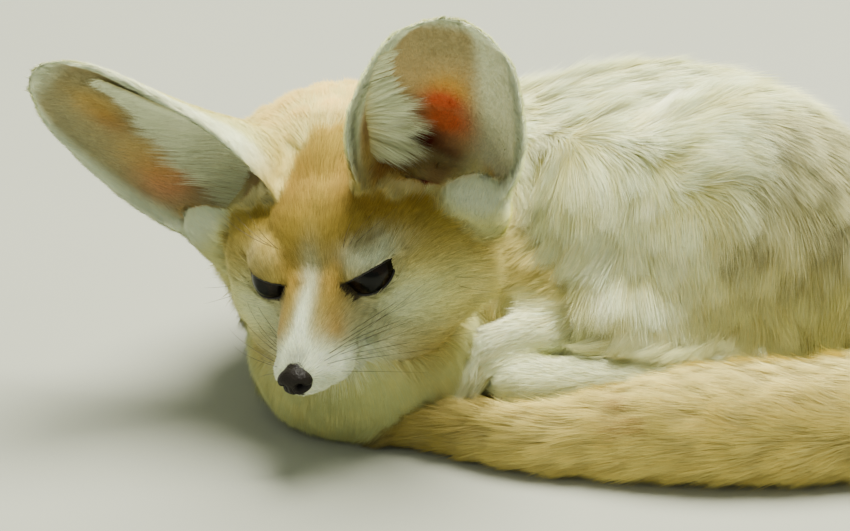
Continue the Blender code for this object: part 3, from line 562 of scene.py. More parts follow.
def sculpted(skin, ears):
    """Presses the skin under its short fur, opens the lids, and draws the mouth and the folds of the face."""
    head = head_matrix()
    local = moved(skin.corners, np.linalg.inv(head))
    normals = turned(skin.normals, np.linalg.inv(head))
    on_head = skin.shares[:, 0]
    depth = on_head * (0.7 + 2.0 * ramp(local[:, 1], -46, 4))
    depth += skin.part("hind_foot", "forepaw") * 1.2 + skin.part("foreleg") * 2.0 + ears * 0.55
    local -= normals * depth[:, None]
    for side in SIDES:
        route = catmull([mirrored(p, side) for p in MOUTH_ROUTE], 12)
        flat = route_distance(local, route)
        local -= normals * (on_head * 1.0 * np.exp(-(flat / 0.9) ** 2))[:, None]
        sign = 1 if side == "left" else -1
        # The hollow before the eye, the dip between the brows, and the soft pad where the whiskers root.
        local -= normals * (on_head * 1.3 * blob(local, (sign * 12.5, -36, -1), (5, 7, 5)))[:, None]
        local += normals * (on_head * 0.8 * blob(local, (sign * 8.5, -50, -14.5), (4, 7, 4)))[:, None]
        inside, reach = almond(local, side)
        lid = on_head * (np.abs(reach - EYE_RADIUS) < 6) * (inside < 1.02)
        sunk = np.minimum(reach, EYE_RADIUS - 1.2)
        centre = np.array(mirrored(EYE_PLACE, side))
        ahead = (local - centre) / reach[:, None]
        local = np.where(lid[:, None] > 0.4, centre + ahead * sunk[:, None], local)
        near = on_head * np.exp(-((inside - 1.12) / 0.10) ** 2) * (np.abs(reach - EYE_RADIUS) < 5) * (inside > 1.02)
        rim = centre + ahead * (EYE_RADIUS + 0.9)
        local = blended(local, rim, np.clip(near, 0, 1) * 0.7)
    local -= normals * (on_head * 1.6 * blob(local, (0, -33, 9), (6, 8, 6)))[:, None]
    skin.corners = moved(local, head)
    skin.corners[:, 2] = np.maximum(skin.corners[:, 2], FLOOR_CLEARANCE)
    skin.measure()


def leg_flow(points, normals):
    """Down the side, turning back towards the top, with a clockwise whorl high on the near haunch."""
    across, rise = points[:, 0], points @ VIEW_RISE
    away = np.stack([across, rise], axis=1) - WHORL
    distance = np.linalg.norm(away, axis=1, keepdims=True)
    out = away / np.maximum(distance, 1e-6)
    swirl = np.stack([out[:, 1], -out[:, 0]], axis=1) + 0.2 * out
    above = ramp(out[:, 1] + 0.5 * out[:, 0], -0.9, 0.1)[:, None] * ramp(-points[:, 1], -30, 0)[:, None]
    near = np.exp(-(distance / 24) ** 2) * above
    back = np.clip(ramp(rise, 70, 102) + 0.5 * ramp(across, 72, 110) * ramp(rise, 40, 70), 0, 1)
    angle = np.radians(-88 + 70 * back)
    seen = unit(np.stack([np.cos(angle), np.sin(angle)], axis=1) * (1 - near) + 1.3 * swirl * near)
    flow = seen[:, :1] * np.array((1.0, 0, 0)) + seen[:, 1:] * VIEW_RISE
    top = ramp(normals[:, 2], 0.7, 1.0)[:, None]
    return unit(flow * (1 - top) + np.array((1.0, 0.1, -0.3)) * top)


def hair_flow(skin):
    """The way the coat lies at each corner, by the region's own rule."""
    points, normals = skin.corners, skin.normals
    head = head_matrix()
    local = moved(points, np.linalg.inv(head))
    flow = np.zeros_like(points)
    back = unit(local - np.array(NOSE_TIP)) + np.array((0, 0.5, 0.0)) * ramp(local[:, 1], -50, 0)[:, None]
    back[:, 2] -= 0.9 * ramp(np.abs(local[:, 0]), 22, 40) * ramp(local[:, 1], -30, 0)
    flow += skin.shares[:, [0]] * unit(turned(back, head))
    for side in SIDES:
        column = skin.shares[:, [REGIONS.index("ear_" + side)]]
        to_world = head @ ear_matrix(side)
        _, across, _ = ear_reading(points, side)
        out = np.stack([np.sign(across) * 0.3 * ramp(-np.abs(across), -0.9, -0.6), np.zeros(len(points)),
                        np.full(len(points), 1.0)], axis=1)
        flow += column * unit(turned(out, to_world))
        for region, rows in (("hind_foot_", HIND_FOOT), ("forepaw_", FOREPAW), ("foreleg_", FOREARM)):
            flow += skin.shares[:, [REGIONS.index(region + side)]] * along(points, rows[side])
        flow += skin.shares[:, [REGIONS.index("hind_leg_" + side)]] * leg_flow(points, normals)
    neck = unit(points - np.array(HEAD_PLACE)) * 0.6 + np.array((0.1, 0.35, -0.7))
    flow += skin.shares[:, [REGIONS.index("neck")]] * unit(neck)
    rear = (ramp(points[:, 0], -5, 25) * ramp(-points[:, 1], -40, -10))[:, None]
    trunk = unit(along(points, TORSO_ROWS) + np.array((0, 0, -0.75))) * (1 - rear) + leg_flow(points, normals) * rear
    flow += skin.shares[:, [REGIONS.index("torso")]] * unit(trunk)
    fan = np.array((0, 0, 1.0)) * (0.40 * np.tanh(np.maximum(points[:, 2] - 18, -2) / 8))[:, None]
    flow += skin.shares[:, [REGIONS.index("tail")]] * unit(along(points, TAIL_ROWS) + fan)
    return level(skin.evened(level(flow, normals), 60, 0.5 - 0.4 * np.clip(skin.part("head", "ear"), 0, 1)), normals)


@functools.lru_cache(maxsize=1)
def body():
    """The finished skin with its regions, flow and lookup tree."""
    form = bpy.context.scene.fennec_form
    forms = Forms()
    head_forms(forms)
    body_forms(forms)
    skin = remeshed(forms, form.detail / MM)
    skin.link()
    skin.shares = shares_of_regions(skin, forms)
    ears = skin.shares[:, 1] + skin.shares[:, 2]
    skin.part = lambda *names: sum(skin.shares[:, k] for k, name in enumerate(REGIONS) if name.startswith(names))
    skin.corners = skin.evened(skin.corners, 6, 0.5 * (1 - 0.5 * np.clip(ears, 0, 1)))
    skin.corners = skin.evened(skin.corners, 70, 0.5 * np.clip(skin.part("torso", "hind_leg", "neck"), 0, 1) ** 2)
    skin.measure()
    sculpted(skin, ears)
    skin.flow = hair_flow(skin)
    skin.tree = BVHTree.FromPolygons(skin.corners.tolist(), skin.triangles.tolist())
    return skin


# Markings, the same on skin and coat

def paints():
    coat = bpy.context.scene.fennec_coat
    return {name: np.array(getattr(coat, name)) for name in
            ("white", "cream", "gold", "orange", "amber", "brown", "dusk_and_shade", "dark", "pink", "red", "canal_shadow")}


def face_colour(p, points):
    """White round the eyes, on the muzzle and the cheeks; gold brow and crown; brown streaks from the eyes."""
    head = moved(points, np.linalg.inv(head_matrix()))
    hx, hy, hz = np.abs(head[:, 0]), head[:, 1], head[:, 2]
    mirror = np.stack([hx, hy, hz], axis=1)
    # The face's gold is at half strength: partly the brow's own deeper colour, partly painted shade over the face.
    face = np.tile(p["gold"] * 0.50, (len(points), 1))
    face = painted(face, (p["orange"] * 0.55, 0.6 * blob(mirror, (22, -4, 26), (16, 18, 12))),
                         (p["orange"] * 0.75, 0.6 * ramp(hy, 10, 34) * ramp(hz, 0, 16)),
                         (p["brown"], 0.35 * blob(mirror, (8, -8, 29), (12, 16, 10))))
    pale = blob(mirror, (29, -18, -8), (14, 20, 12)) + 0.7 * blob(mirror, (38, -4, -22), (14, 18, 16))
    face = painted(face, (p["cream"], np.clip(1.2 * pale, 0, 1)),
                         (p["gold"], 0.35 * blob(mirror, (40, 2, -4), (8, 12, 14))))
    brow = np.where(head[:, 0] > 0, 0.85, 0.12)
    white = brow * blob(mirror, (21, -26, 10.5), (10, 9, 3.4)) + 0.6 * blob(mirror, (24, -24, -7), (11, 15, 9))
    white += blob(mirror, (0, -50, -3), (3.0, 20, 9)) + blob(mirror, (0, -60, -9), (10, 7, 8))
    white += blob(mirror, (7, -52, -18), (14, 18, 12))
    white += blob(mirror, (0, -44, -24), (20, 24, 10)) + 0.35 * blob(mirror, (0, -34, 8), (4, 16, 8))
    face = blended(face, p["white"], np.clip(1.15 * white, 0, 1))
    streak = route_distance(mirror, np.array([(5.8, -33, 2), (7.0, -39, -2), (9.0, -46, -5.5)], float))
    face = painted(face, (p["amber"] * 0.72, 0.95 * np.exp(-(streak / 3.8) ** 2)),
                         (p["amber"], 0.3 * blob(mirror, (9, -30, 8), (4, 9, 6))))
    tear = route_distance(mirror, np.array([(12.5, -32, 2), (8.5, -36.5, -1.5)], float))
    face = blended(face, p["dark"], 0.95 * np.exp(-(tear / 1.8) ** 2))
    lips = route_distance(mirror, catmull(MOUTH_ROUTE, 12))
    face = painted(face, (p["brown"], 0.75 * np.exp(-(lips / 1.0) ** 2) * ramp(-hy, 34, 44)),
                         (p["dark"], 0.55 * blob(mirror, (0, -60, -6.5), (4.5, 5, 3))))
    for side in SIDES:
        inside, reach = almond(head, side)
        near = np.exp(-(np.maximum(inside - 1, 0) / 0.12) ** 2) * (np.abs(reach - EYE_RADIUS) < 4)
        face = blended(face, p["dark"], 0.95 * near * (1 - ramp(hx, 23.5, 26.5)))
    return face, hz


def ear_colour(p, side, share, across, wall):
    """Pale gold backs, white rims and pink skin inside, with painted light and shade: a reddish glow where light
    shines through the thin skin, and dark shade deep in each cup and in the folds.
    """
    outside = ramp(wall, -0.3, 0.3)
    inner = 1 - outside
    place = np.stack([share, across], axis=1)

    def spot(centre, radii):
        return np.exp(-(((place - centre) / radii) ** 2).sum(axis=1)) * inner

    colour = blended(np.tile(p["pink"], (len(place), 1)), p["cream"], outside)
    colour = blended(colour, p["gold"], 0.45 * outside * ramp(-np.abs(across), -0.8, -0.3))
    for paint, strength, centre, radii in EAR_SPOTS[side]:
        colour = blended(colour, p[paint], np.clip(1.25 * strength * spot(centre, radii), 0, strength))
    within = 0.75 if side == "left" else 0.10
    plush = np.where(across > 0, within * ramp(across, 0.18, 0.46) + (1 - within) * ramp(across, 0.80, 0.95),
                     ramp(-across, 0.74, 0.84) * (0.25 + 0.75 * ramp(share, -0.02, 0.24)))
    rim = np.clip(plush + ramp(share, 0.88, 0.98), 0, 1)
    rim *= 1 - 0.8 * ramp(spot((0.10, 0.62), (0.04, 0.20)), 0.2, 0.8)
    colour = blended(colour, p["white"], rim * (0.95 * inner + 0.7 * outside))
    golden = ramp(-share, -0.28, -0.06) * ramp(-across, 0.2, 0.6) * (1 - 0.5 * inner)
    colour = blended(colour, p["gold"] * 0.7, 0.85 * golden)
    lobe = ramp(-share, -0.16, -0.06) * ramp(across, 0.15, 0.45)
    colour = painted(colour, (p["cream"], 0.9 * lobe),
                             (p["cream"] * 0.75, 0.75 * ramp(-share, -0.08, 0.0) * inner))
    return colour


def markings(points, shares):
    """The coat's colour at its tips and at its roots, at each point."""
    p = paints()
    part = lambda *names: sum(shares[:, k] for k, name in enumerate(REGIONS) if name.startswith(names))
    tips = np.tile(p["cream"], (len(points), 1))
    # The roots are darker than the tips: partly the coat's own darker underfur, partly painted shade deep in the
    # coat.
    roots = np.tile(p["cream"] * (0.80, 0.76, 0.66), (len(points), 1))
    x, y, z = points.T

    # Body: paler on the haunch and the back, partly paler hair and partly painted light where the light from above
    # falls strongest; golden on the neck and the flank, dusky roots behind the whorl.
    torso, legs, neck = part("torso"), part("hind_leg"), part("neck")
    pale = 0.9 * blob(points, (20, 20, 100), (80, 60, 40)) + 0.95 * blob(points, (42, -30, 85), (26, 34, 45))
    pale += 0.8 * blob(points, (12, 0, 106), (34, 50, 30)) + 0.3 * legs
    tips = blended(tips, p["white"], np.clip(pale * (torso + legs + 0.8 * neck), 0, 1))
    low_flank = ramp(-x, -32, -6) * ramp(-z, -84, -52)
    tips = blended(tips, p["gold"] * 0.62, 0.8 * torso * low_flank + 0.45 * neck * low_flank * ramp(y, -24, -8))
    rise = points @ VIEW_RISE
    dusky = (torso + legs) * ramp(x, 56, 84) * ramp(rise, 45, 62) * ramp(-rise, -108, -92)
    darker = 0.40 * (torso + legs) * (1 - np.clip(pale, 0, 1)) + 0.6 * dusky
    roots = blended(roots, p["dusk_and_shade"], np.clip(darker, 0, 1))
    tips = blended(tips, p["dusk_and_shade"] * 1.4, 0.62 * dusky)
    nape = neck * ramp(z, 82, 108) * ramp(-x, -8, 20)
    tips = painted(tips, (p["orange"], 0.75 * nape),
                         (p["gold"], 0.35 * neck * ramp(z, 50, 80) * ramp(-x, -8, 20) * (1 - nape)),
                         # Painted shade: the lower neck and the chest, under the chin, are darkened to a greenish
                         # grey-brown.
                         (p["dusk_and_shade"] * (1.1, 1.35, 1.2), 0.7 * neck * ramp(-z, -60, -25)),
                         (p["white"], part("foreleg") * ramp(-z, -52, -34)),
                         (p["gold"] * 0.6, 0.75 * part("foreleg") * ramp(z, 36, 54)),
                         (p["white"], part("hind_foot", "forepaw") * 0.85))
    roots = blended(roots, p["cream"] * 0.8, part("hind_foot", "forepaw"))
    tail = part("tail")
    tail_tip = tail * ramp(-x, 30, 50)
    tips = painted(tips, (p["gold"], 0.65 * tail * (1 - 0.35 * ramp(z, 25, 42))),
                         # Painted shade: the end of the tail that lies under the chin is darkened to a deep gold.
                         (p["gold"] * 0.3, 0.8 * tail * ramp(-x, -14, 22)),
                         (p["dark"], tail_tip))
    roots = painted(roots, (p["brown"], 0.5 * tail), (p["dark"], tail_tip))

    face, height = face_colour(p, points)
    on_head = part("head")
    tips = blended(tips, face, on_head)
    roots = blended(roots, face * (0.82 - 0.22 * ramp(height, 6, 18))[:, None], on_head)
    for side in SIDES:
        ear = shares[:, REGIONS.index("ear_" + side)]
        share, across, wall = ear_reading(points, side)
        colour = ear_colour(p, side, share, across * outer_sign(side), wall)
        tips = blended(tips, colour, ear)
        roots = blended(roots, colour * 0.85, ear)
        # Painted shade: skin of the head and neck that lies deep in an ear's cup, behind its wall, is painted brown.
        cup_shade = (1 - ear) * ramp(-wall, -1.5, 0.5) * ramp(share, 0.0, 0.06) * ramp(-np.abs(across), -1.0, -0.8)
        tips = blended(tips, p["brown"], 0.9 * cup_shade)
        roots = blended(roots, p["brown"] * 0.8, 0.9 * cup_shade)
    return tips, roots


def on_chest(points):
    """1 on the chest under the chin, 0 on the nape and the shoulders."""
    return ramp(-points[:, 1], 18, 32) * ramp(-points[:, 2], -72, -52)


def dark_streaks(points, shares):
    """Where some of the locks end dark: at three places on the tail, and on the haunch behind the whorl."""
    on_tail = sum(blob(points, centre, radii) for centre, radii in STREAKS) * shares[:, REGIONS.index("tail")]
    rise = points @ VIEW_RISE
    on_leg = ramp(points[:, 0], 60, 76) * ramp(rise, 36, 56) * ramp(-rise, -106, -96)
    return np.clip(1.6 * on_tail + on_leg * shares[:, REGIONS.index("hind_leg_left")], 0, 1)


# Meshes from arrays

def mesh_object(name, corners, triangles, normals=None, tint=None, patches=None):
    """An object in the frame's place from arrays in the layout's millimetres."""
    mesh = bpy.data.meshes.new(name)
    mesh.vertices.add(len(corners))
    mesh.vertices.foreach_set("co", placed(corners).ravel())
    mesh.loops.add(len(triangles) * 3)
    mesh.loops.foreach_set("vertex_index", triangles.ravel().astype(np.int32))
    mesh.polygons.add(len(triangles))
    mesh.polygons.foreach_set("loop_start", np.arange(0, len(triangles) * 3, 3, dtype=np.int32))
    mesh.update(calc_edges=True)
    mesh.shade_smooth()
    if tint is not None:
        colours = np.ones((len(corners), 4))
        colours[:, :3] = tint
        mesh.attributes.new("tint", "FLOAT_COLOR", "POINT").data.foreach_set("color", colours.ravel())
    if patches is not None:
        mesh.uv_layers.new(name="OFBake").data.foreach_set("uv", patches[triangles.ravel()].ravel())
    if normals is not None:
        mesh.normals_split_custom_set_from_vertices(unit(normals))
    obj = bpy.data.objects.new(name, mesh)
    bpy.context.scene.collection.objects.link(obj)
    return obj


def finished(obj, material):
    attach(obj, "root")
    obj.data.materials.clear()
    obj.data.materials.append(material)
    return obj


# Materials

class Value:
    """A shader socket that can be added, multiplied and compared in plain expressions."""

    def __init__(self, shader, socket):
        self.shader, self.socket = shader, socket

    def sum(self, operation, other, flipped=False):
        pair = (other, self) if flipped else (self, other)
        return self.shader.node("ShaderNodeMath", {"operation": operation}, *pair)

    def __add__(self, other):
        return self.sum("ADD", other)

    def __mul__(self, other):
        return self.sum("MULTIPLY", other)

    def __sub__(self, other):
        return self.sum("SUBTRACT", other)

    def __rsub__(self, other):
        return self.sum("SUBTRACT", other, True)

    __radd__ = __add__
    __rmul__ = __mul__


class Shader:
    """A material under construction, with one Principled shader."""

    def __init__(self, name, **fixed):
        self.material = bpy.data.materials.new(name)
        self.material.use_nodes = True
        self.tree = self.material.node_tree
        self.surface = self.tree.nodes["Principled BSDF"]
        for label, value in fixed.items():
            self.surface.inputs[label.replace("_", " ")].default_value = value

    def node(self, kind, settings=None, *values, output=0, **named):
        made = self.tree.nodes.new(kind)
        for label, value in (settings or {}).items():
            setattr(made, label, value)
        for target, value in [*enumerate(values), *((label.replace("_", " "), v) for label, v in named.items())]:
            if isinstance(value, Value):
                self.tree.links.new(value.socket, made.inputs[target])
            elif value is not None:
                made.inputs[target].default_value = value
        return Value(self, made.outputs[output])

    def mix(self, factor, one, two):
        """A colour between two colours."""
        made = self.tree.nodes.new("ShaderNodeMix")
        made.data_type = "RGBA"
        for index, value in ((0, factor), (6, one), (7, two)):
            if isinstance(value, Value):
                self.tree.links.new(value.socket, made.inputs[index])
            else:
                made.inputs[index].default_value = value if index == 0 else (*value[:3], 1)
        return Value(self, made.outputs[2])

    def ramp(self, value, stops):
        made = self.tree.nodes.new("ShaderNodeValToRGB")
        self.tree.links.new(value.socket, made.inputs[0])
        bands = made.color_ramp.elements
        for index, (place, colour) in enumerate(stops):
            band = bands[index] if index < 2 else bands.new(place)
            band.position = place
            band.color = (*colour, 1)
        return Value(self, made.outputs[0])

    def where(self):
        return self.node("ShaderNodeTexCoord", output=3)

    def tinted(self, shade):
        """The markings of each corner, made darker or lighter."""
        grey = self.node("ShaderNodeCombineColor", None, shade, shade, shade)
        return self.node("ShaderNodeVectorMath", {"operation": "MULTIPLY"}, self.attribute("tint"), grey)

    def noise(self, scale, detail=3.0, place=None):
        return self.node("ShaderNodeTexNoise", None, Vector=place or self.where(), Scale=scale, Detail=detail)

    def attribute(self, name, output=0):
        return self.node("ShaderNodeAttribute", {"attribute_name": name}, output=output)

    def feed(self, label, value):
        self.tree.links.new(value.socket, self.surface.inputs[label])

    def bump(self, height, strength, distance):
        self.feed("Normal", self.node("ShaderNodeBump", None, Strength=strength, Distance=distance, Height=height))


def fur_material(name):
    """Hair: the marking's colour with fine and broad changes, and a soft dry sheen."""
    made = Shader(name, Sheen_Weight=0.03, Sheen_Roughness=0.5, Specular_IOR_Level=0.12)
    broad = made.noise(38, 2.0)
    fine = made.noise(420, 2.0)
    made.feed("Base Color", made.tinted(broad * 0.26 + fine * 0.16 + 0.80))
    made.feed("Roughness", fine * 0.25 + 0.55)
    return made.material


def skin_material():
    """Skin and its shortest down: the markings, with a hair grain in the bump."""
    made = Shader("short_down", Sheen_Weight=0.03, Sheen_Roughness=0.6, Specular_IOR_Level=0.1)
    grain = made.noise(900, 4.0)
    patchy = made.noise(60, 2.0)
    made.feed("Base Color", made.tinted(grain * 0.5 + patchy * 0.2 + 0.55))
    made.feed("Roughness", patchy * 0.2 + 0.65)
    made.bump(grain, 0.5, 0.0006)
    return made.material


# Strands of the coat

class Comb:
    """Guides traced over the skin, gathered into locks, that the coat's strands follow."""

    STEPS = 6

    def __init__(self, skin, weight, look, rng):
        self.skin, self.look, self.rng = skin, look, rng
        self.weight = weight[skin.triangles].mean(axis=1) * skin.areas
        area = self.weight.sum()
        count = int(np.clip(area / look["guide_gap"] ** 2 * 1.4, 40, 9000))
        faces, places, normals = self.scatter(count)
        self.trace(faces, places, normals)
        self.gather()

    def scatter(self, count):
        """Faces, places and normals of evenly random roots."""
        faces = self.rng.choice(len(self.weight), count, p=self.weight / self.weight.sum())
        u, v = np.sqrt(self.rng.random(count)), self.rng.random(count)
        self.mixing = np.stack([1 - u, u * (1 - v), u * v], axis=1)
        return faces, self.blend(self.skin.corners, faces), unit(self.blend(self.skin.normals, faces))

    def blend(self, values, faces):
        """A quantity of the corners read at the roots just scattered."""
        picked = values[self.skin.triangles[faces]]
        mixing = self.mixing if picked.ndim == 2 else self.mixing[:, :, None]
        return (picked * mixing).sum(axis=1)

    def trace(self, faces, places, normals):
        """Each guide as points that run along the flow and rise to the coat's depth."""
        skin, look = self.skin, self.look
        flow = level(self.blend(skin.flow, faces), normals)
        length = self.blend(look["length"], faces) * self.rng.uniform(0.8, 1.15, len(faces))
        depth = self.blend(look["depth"], faces) * self.rng.uniform(0.7, 1.15, len(faces))
        sway = self.rng.normal(0, SWAY, len(faces))
        points = np.zeros((len(faces), self.STEPS + 1, 3))
        points[:, 0] = places
        for g in range(len(faces)):
            here, way, normal = Vector(places[g]), Vector(flow[g]), Vector(normals[g])
            way = (way + normal.cross(way) * float(sway[g])).normalized()
            for step in range(1, self.STEPS + 1):
                share = step / self.STEPS
                ahead = here + way * float(length[g]) / self.STEPS
                found, facing, index, _ = skin.tree.find_nearest(ahead)
                lift = float(depth[g]) * (1 - (1 - share) ** 2)
                points[g, step] = found + facing * lift
                here = found
                turn = Vector(skin.flow[skin.triangles[index][0]])
                way = way * 0.65 + turn * 0.35
                way = (way - facing * way.dot(facing)).normalized()
        self.points, self.roots, self.normals = points, places, normals

    def gather(self):
        """Pulls the guides' tips towards the middle of the lock that each belongs to."""
        gap, pull = self.look["lock_gap"], self.look["lock_pull"]
        spots = self.roots + self.normals * APART
        kept = []
        for g in range(len(spots)):
            if not kept or np.linalg.norm(spots[kept] - spots[g], axis=1).min() > gap:
                kept.append(g)
        near, self.away, self.lock = [], np.zeros(len(spots)), np.zeros(len(spots), int)
        for g in range(len(spots)):
            distance = np.linalg.norm(spots[kept] - spots[g], axis=1)
            self.lock[g] = distance.argmin()
            near.append(kept[self.lock[g]])
            self.away[g] = distance.min() / gap
        self.tone = self.rng.normal(1.0, 0.05, len(kept))
        self.odd = self.rng.random(len(kept))
        share = np.arange(self.STEPS + 1) / self.STEPS
        centre = self.points[near]
        self.points += (centre - self.points) * (pull * share ** 1.4)[None, :, None] * 0.85
        phase = self.rng.uniform(0, 2 * math.pi, len(kept))[self.lock]
        bow = np.sin(phase[:, None] + 5.5 * share) - np.sin(phase)[:, None]
        moves = self.points[:, -1] - self.points[:, 0]
        side = unit(np.cross(moves, self.normals)) * (self.look["wave"] * np.linalg.norm(moves, axis=1))[:, None]
        self.points += side[:, None, :] * bow[:, :, None]
        height = ((self.points - self.points[:, :1]) * self.normals[:, None]).sum(axis=2)
        sink = pull * ramp(self.away, 0.4, 0.8)[:, None] * height
        self.points -= self.normals[:, None] * sink[:, :, None]

    def strands(self, count, width):
        """Roots, ends, side ways and shading of the hairs, and the middle, tone and draw of each one's lock."""
        look, rng = self.look, self.rng
        faces, roots, normals = self.scatter(count)
        shares = self.blend(self.skin.shares, faces)
        flow = level(self.blend(self.skin.flow, faces), normals)
        tree = KDTree(len(self.roots))
        for index, place in enumerate(self.roots + self.normals * APART):
            tree.insert(place, index)
        tree.balance()
        found = [tree.find_n(place, 3) for place in roots + normals * APART]
        nearest = np.array([[hit[1] for hit in hits] for hits in found])
        closeness = 1 / (np.array([[hit[2] for hit in hits] for hits in found]) + 0.3)
        closeness /= closeness.sum(axis=1, keepdims=True)
        moves = self.points[:, -1] - self.points[:, 0]
        reach = rng.uniform(0.65, 1.1, count)[:, None]
        shape = (moves[nearest] * closeness[:, :, None]).sum(axis=1) * reach
        ends = roots + shape
        lead = nearest[:, 0]
        ends += (self.points[lead, -1] - ends) * look["clump"] * rng.uniform(0.6, 1.0, count)[:, None]
        side = np.cross(flow, normals)
        wander = rng.normal(0, STRAY, (count, 1)) * side
        rise = rng.normal(0, STRAY * 0.7, (count, 1)) * normals
        ends += (wander + rise) * np.linalg.norm(shape, axis=1)[:, None]
        tilt = rng.uniform(-0.35, 0.35, count)[:, None]
        facing = unit(normals * np.cos(tilt) + side * np.sin(tilt))
        sideways = unit(np.cross(unit(ends - roots), facing))
        widths = look["width"] * width * rng.uniform(0.7, 1.3, count)
        normals = unit(normals + self.blend(look["lean"][:, None], faces) * flow)
        lock = self.lock[lead]
        return (roots, ends, normals, shares, sideways, widths, facing, self.away[lead], self.tone[lock],
                self.odd[lock])


def hair_mesh(name, centres, sideways, widths, profile, shading, tint, skinward):
    """Flat tapering hairs as one mesh, with two corners at each ring and one at the tip."""
    count, rings = centres.shape[:2]
    per = 2 * rings - 1
    half = widths[:, None, None] * np.array(profile)[None, :, None] / 2
    corners = np.empty((count, per, 3))
    corners[:, 0:per - 1:2] = (centres - sideways * half)[:, :-1]
    corners[:, 1:per - 1:2] = (centres + sideways * half)[:, :-1]
    corners[:, -1] = centres[:, -1]
    corners[:, :, 2] = np.maximum(corners[:, :, 2], FLOOR_CLEARANCE)
    pattern = []
    for a in range(0, per - 3, 2):
        pattern += [(a, a + 1, a + 3), (a, a + 3, a + 2)]
    pattern.append((per - 3, per - 2, per - 1))
    triangles = (np.arange(count)[:, None, None] * per + np.array(pattern)[None]).reshape(-1, 3)
    share = np.repeat(np.linspace(0, 1, rings), 2)[:per]
    across = np.resize((-0.5, 0.5), per)
    across[-1] = 0
    patch = np.stack([across, share - 0.5], axis=1) * PATCH_SIZE
    uv = (patch_places(centres[:, 0], skinward)[:, None, :] + patch[None]).reshape(-1, 2)
    return mesh_object(name, corners.reshape(-1, 3), triangles, shading.reshape(-1, 3),
                       np.clip(tint, 0, 1).reshape(-1, 3), uv)


def coat_mesh(name, comb, count, width):
    """One coat piece: a flat tapering hair from each root, in the markings' colours."""
    roots, ends, normals, shares, sideways, widths, facing, away, tone, odd = comb.strands(count, width)
    rng = comb.rng
    ahead = normals * 0.9 + facing * 0.1
    shading = np.stack([ahead - sideways * ROUND_BY, ahead + sideways * ROUND_BY, ahead], axis=1)
    tips, base = markings(roots, shares)
    long_hair = np.clip(shares[:, [REGIONS.index(n) for n in LONG_HAIRED]].sum(axis=1), 0, 1)
    # Painted shade: hairs at the borders between locks keep their roots' darker colour at their tips, for the shade
    # in the gaps between locks.
    tips = blended(base, tips, 1 - 0.55 * ramp(away, 0.45, 0.85) * long_hair)
    streaked = dark_streaks(roots, shares) * (odd > 0.5) * (away < 0.45)
    on_tail = shares[:, [REGIONS.index("tail")]]
    dark = paints()["brown"] * on_tail + paints()["dusk_and_shade"] * 0.5 * (1 - on_tail)
    tips = blended(tips, dark, 0.8 * streaked)
    speckle = np.where(shares[:, REGIONS.index("head")] > 0.5, 0.20, 0.06)
    value = rng.normal(1.0, 1.0, count) * speckle + (1 - speckle) * tone
    warm = rng.normal(0, 0.03, count)
    tint = np.stack([base, base, tips], axis=1) * value[:, None, None]
    tint *= 1 + warm[:, None, None] * np.array((1.0, 0.0, -1.6))
    centres = np.stack([roots, ends], axis=1)
    return hair_mesh(name, centres, sideways[:, None], widths, (1, 0), shading, tint, normals)


def patch_places(points, normals):
    """Each point's place on a box unwrap: six charts by the way the skin faces, two by three."""
    axis = np.abs(normals).argmax(axis=1)
    index = np.arange(len(points))
    chart = axis * 2 + (normals[index, axis] < 0)
    flat = np.stack([points[index, (axis + 1) % 3], points[index, (axis + 2) % 3]], axis=1)
    low, high = flat.min(axis=0), flat.max(axis=0)
    flat = 0.02 + 0.96 * (flat - low) / (high - low)
    return np.stack([(flat[:, 0] + chart % 3) / 3, (flat[:, 1] + chart // 3) / 2], axis=1)


# The coat's pieces: name, regions, thousands of hairs, gaps of guides and of locks, how far locks and hairs draw
# together, how far locks wave, the hairs' width, and finish.
COATS = [
    ("face_coat", ("head",), 150, 3.0, 6.0, 0.05, 0.05, 0.0, 0.20, "face_fur"),
    ("torso_coat", ("torso",), 170, 4.0, 9.5, 0.50, 0.25, 0.14, 0.36, "cream_fur"),
    ("haunch_coat", ("hind_leg_left",), 190, 3.0, 7.5, 0.60, 0.32, 0.18, 0.32, "cream_fur"),
    ("far_leg_coat", ("hind_leg_right",), 50, 5.0, 10.0, 0.50, 0.25, 0.14, 0.44, "cream_fur"),
    ("neck_coat", ("neck",), 180, 3.4, 8.0, 0.45, 0.25, 0.14, 0.31, "gold_fur"),
    ("chest_coat", ("neck",), 90, 3.6, 8.0, 0.15, 0.10, 0.05, 0.28, "gold_fur"),
    ("tail_coat", ("tail",), 190, 3.0, 7.0, 0.50, 0.28, 0.18, 0.31, "gold_fur"),
    ("foreleg_coat", ("foreleg_left", "foreleg_right"), 60, 3.6, 7.0, 0.20, 0.12, 0.06, 0.28, "cream_fur"),
    ("foot_coat", ("hind_foot_left", "hind_foot_right", "forepaw_left", "forepaw_right"), 60, 3.0, 6.0, 0.05, 0.05,
     0.0, 0.22, "pale_fur"),
    ("left_ear_coat", ("ear_left",), 90, 3.5, 7.0, 0.03, 0.05, 0.0, 0.19, "ear_fur"),
    ("right_ear_coat", ("ear_right",), 90, 3.5, 7.0, 0.03, 0.05, 0.0, 0.19, "ear_fur"),
]
LONG_HAIRED = ["neck", "torso", "hind_leg_left", "hind_leg_right", "tail"]


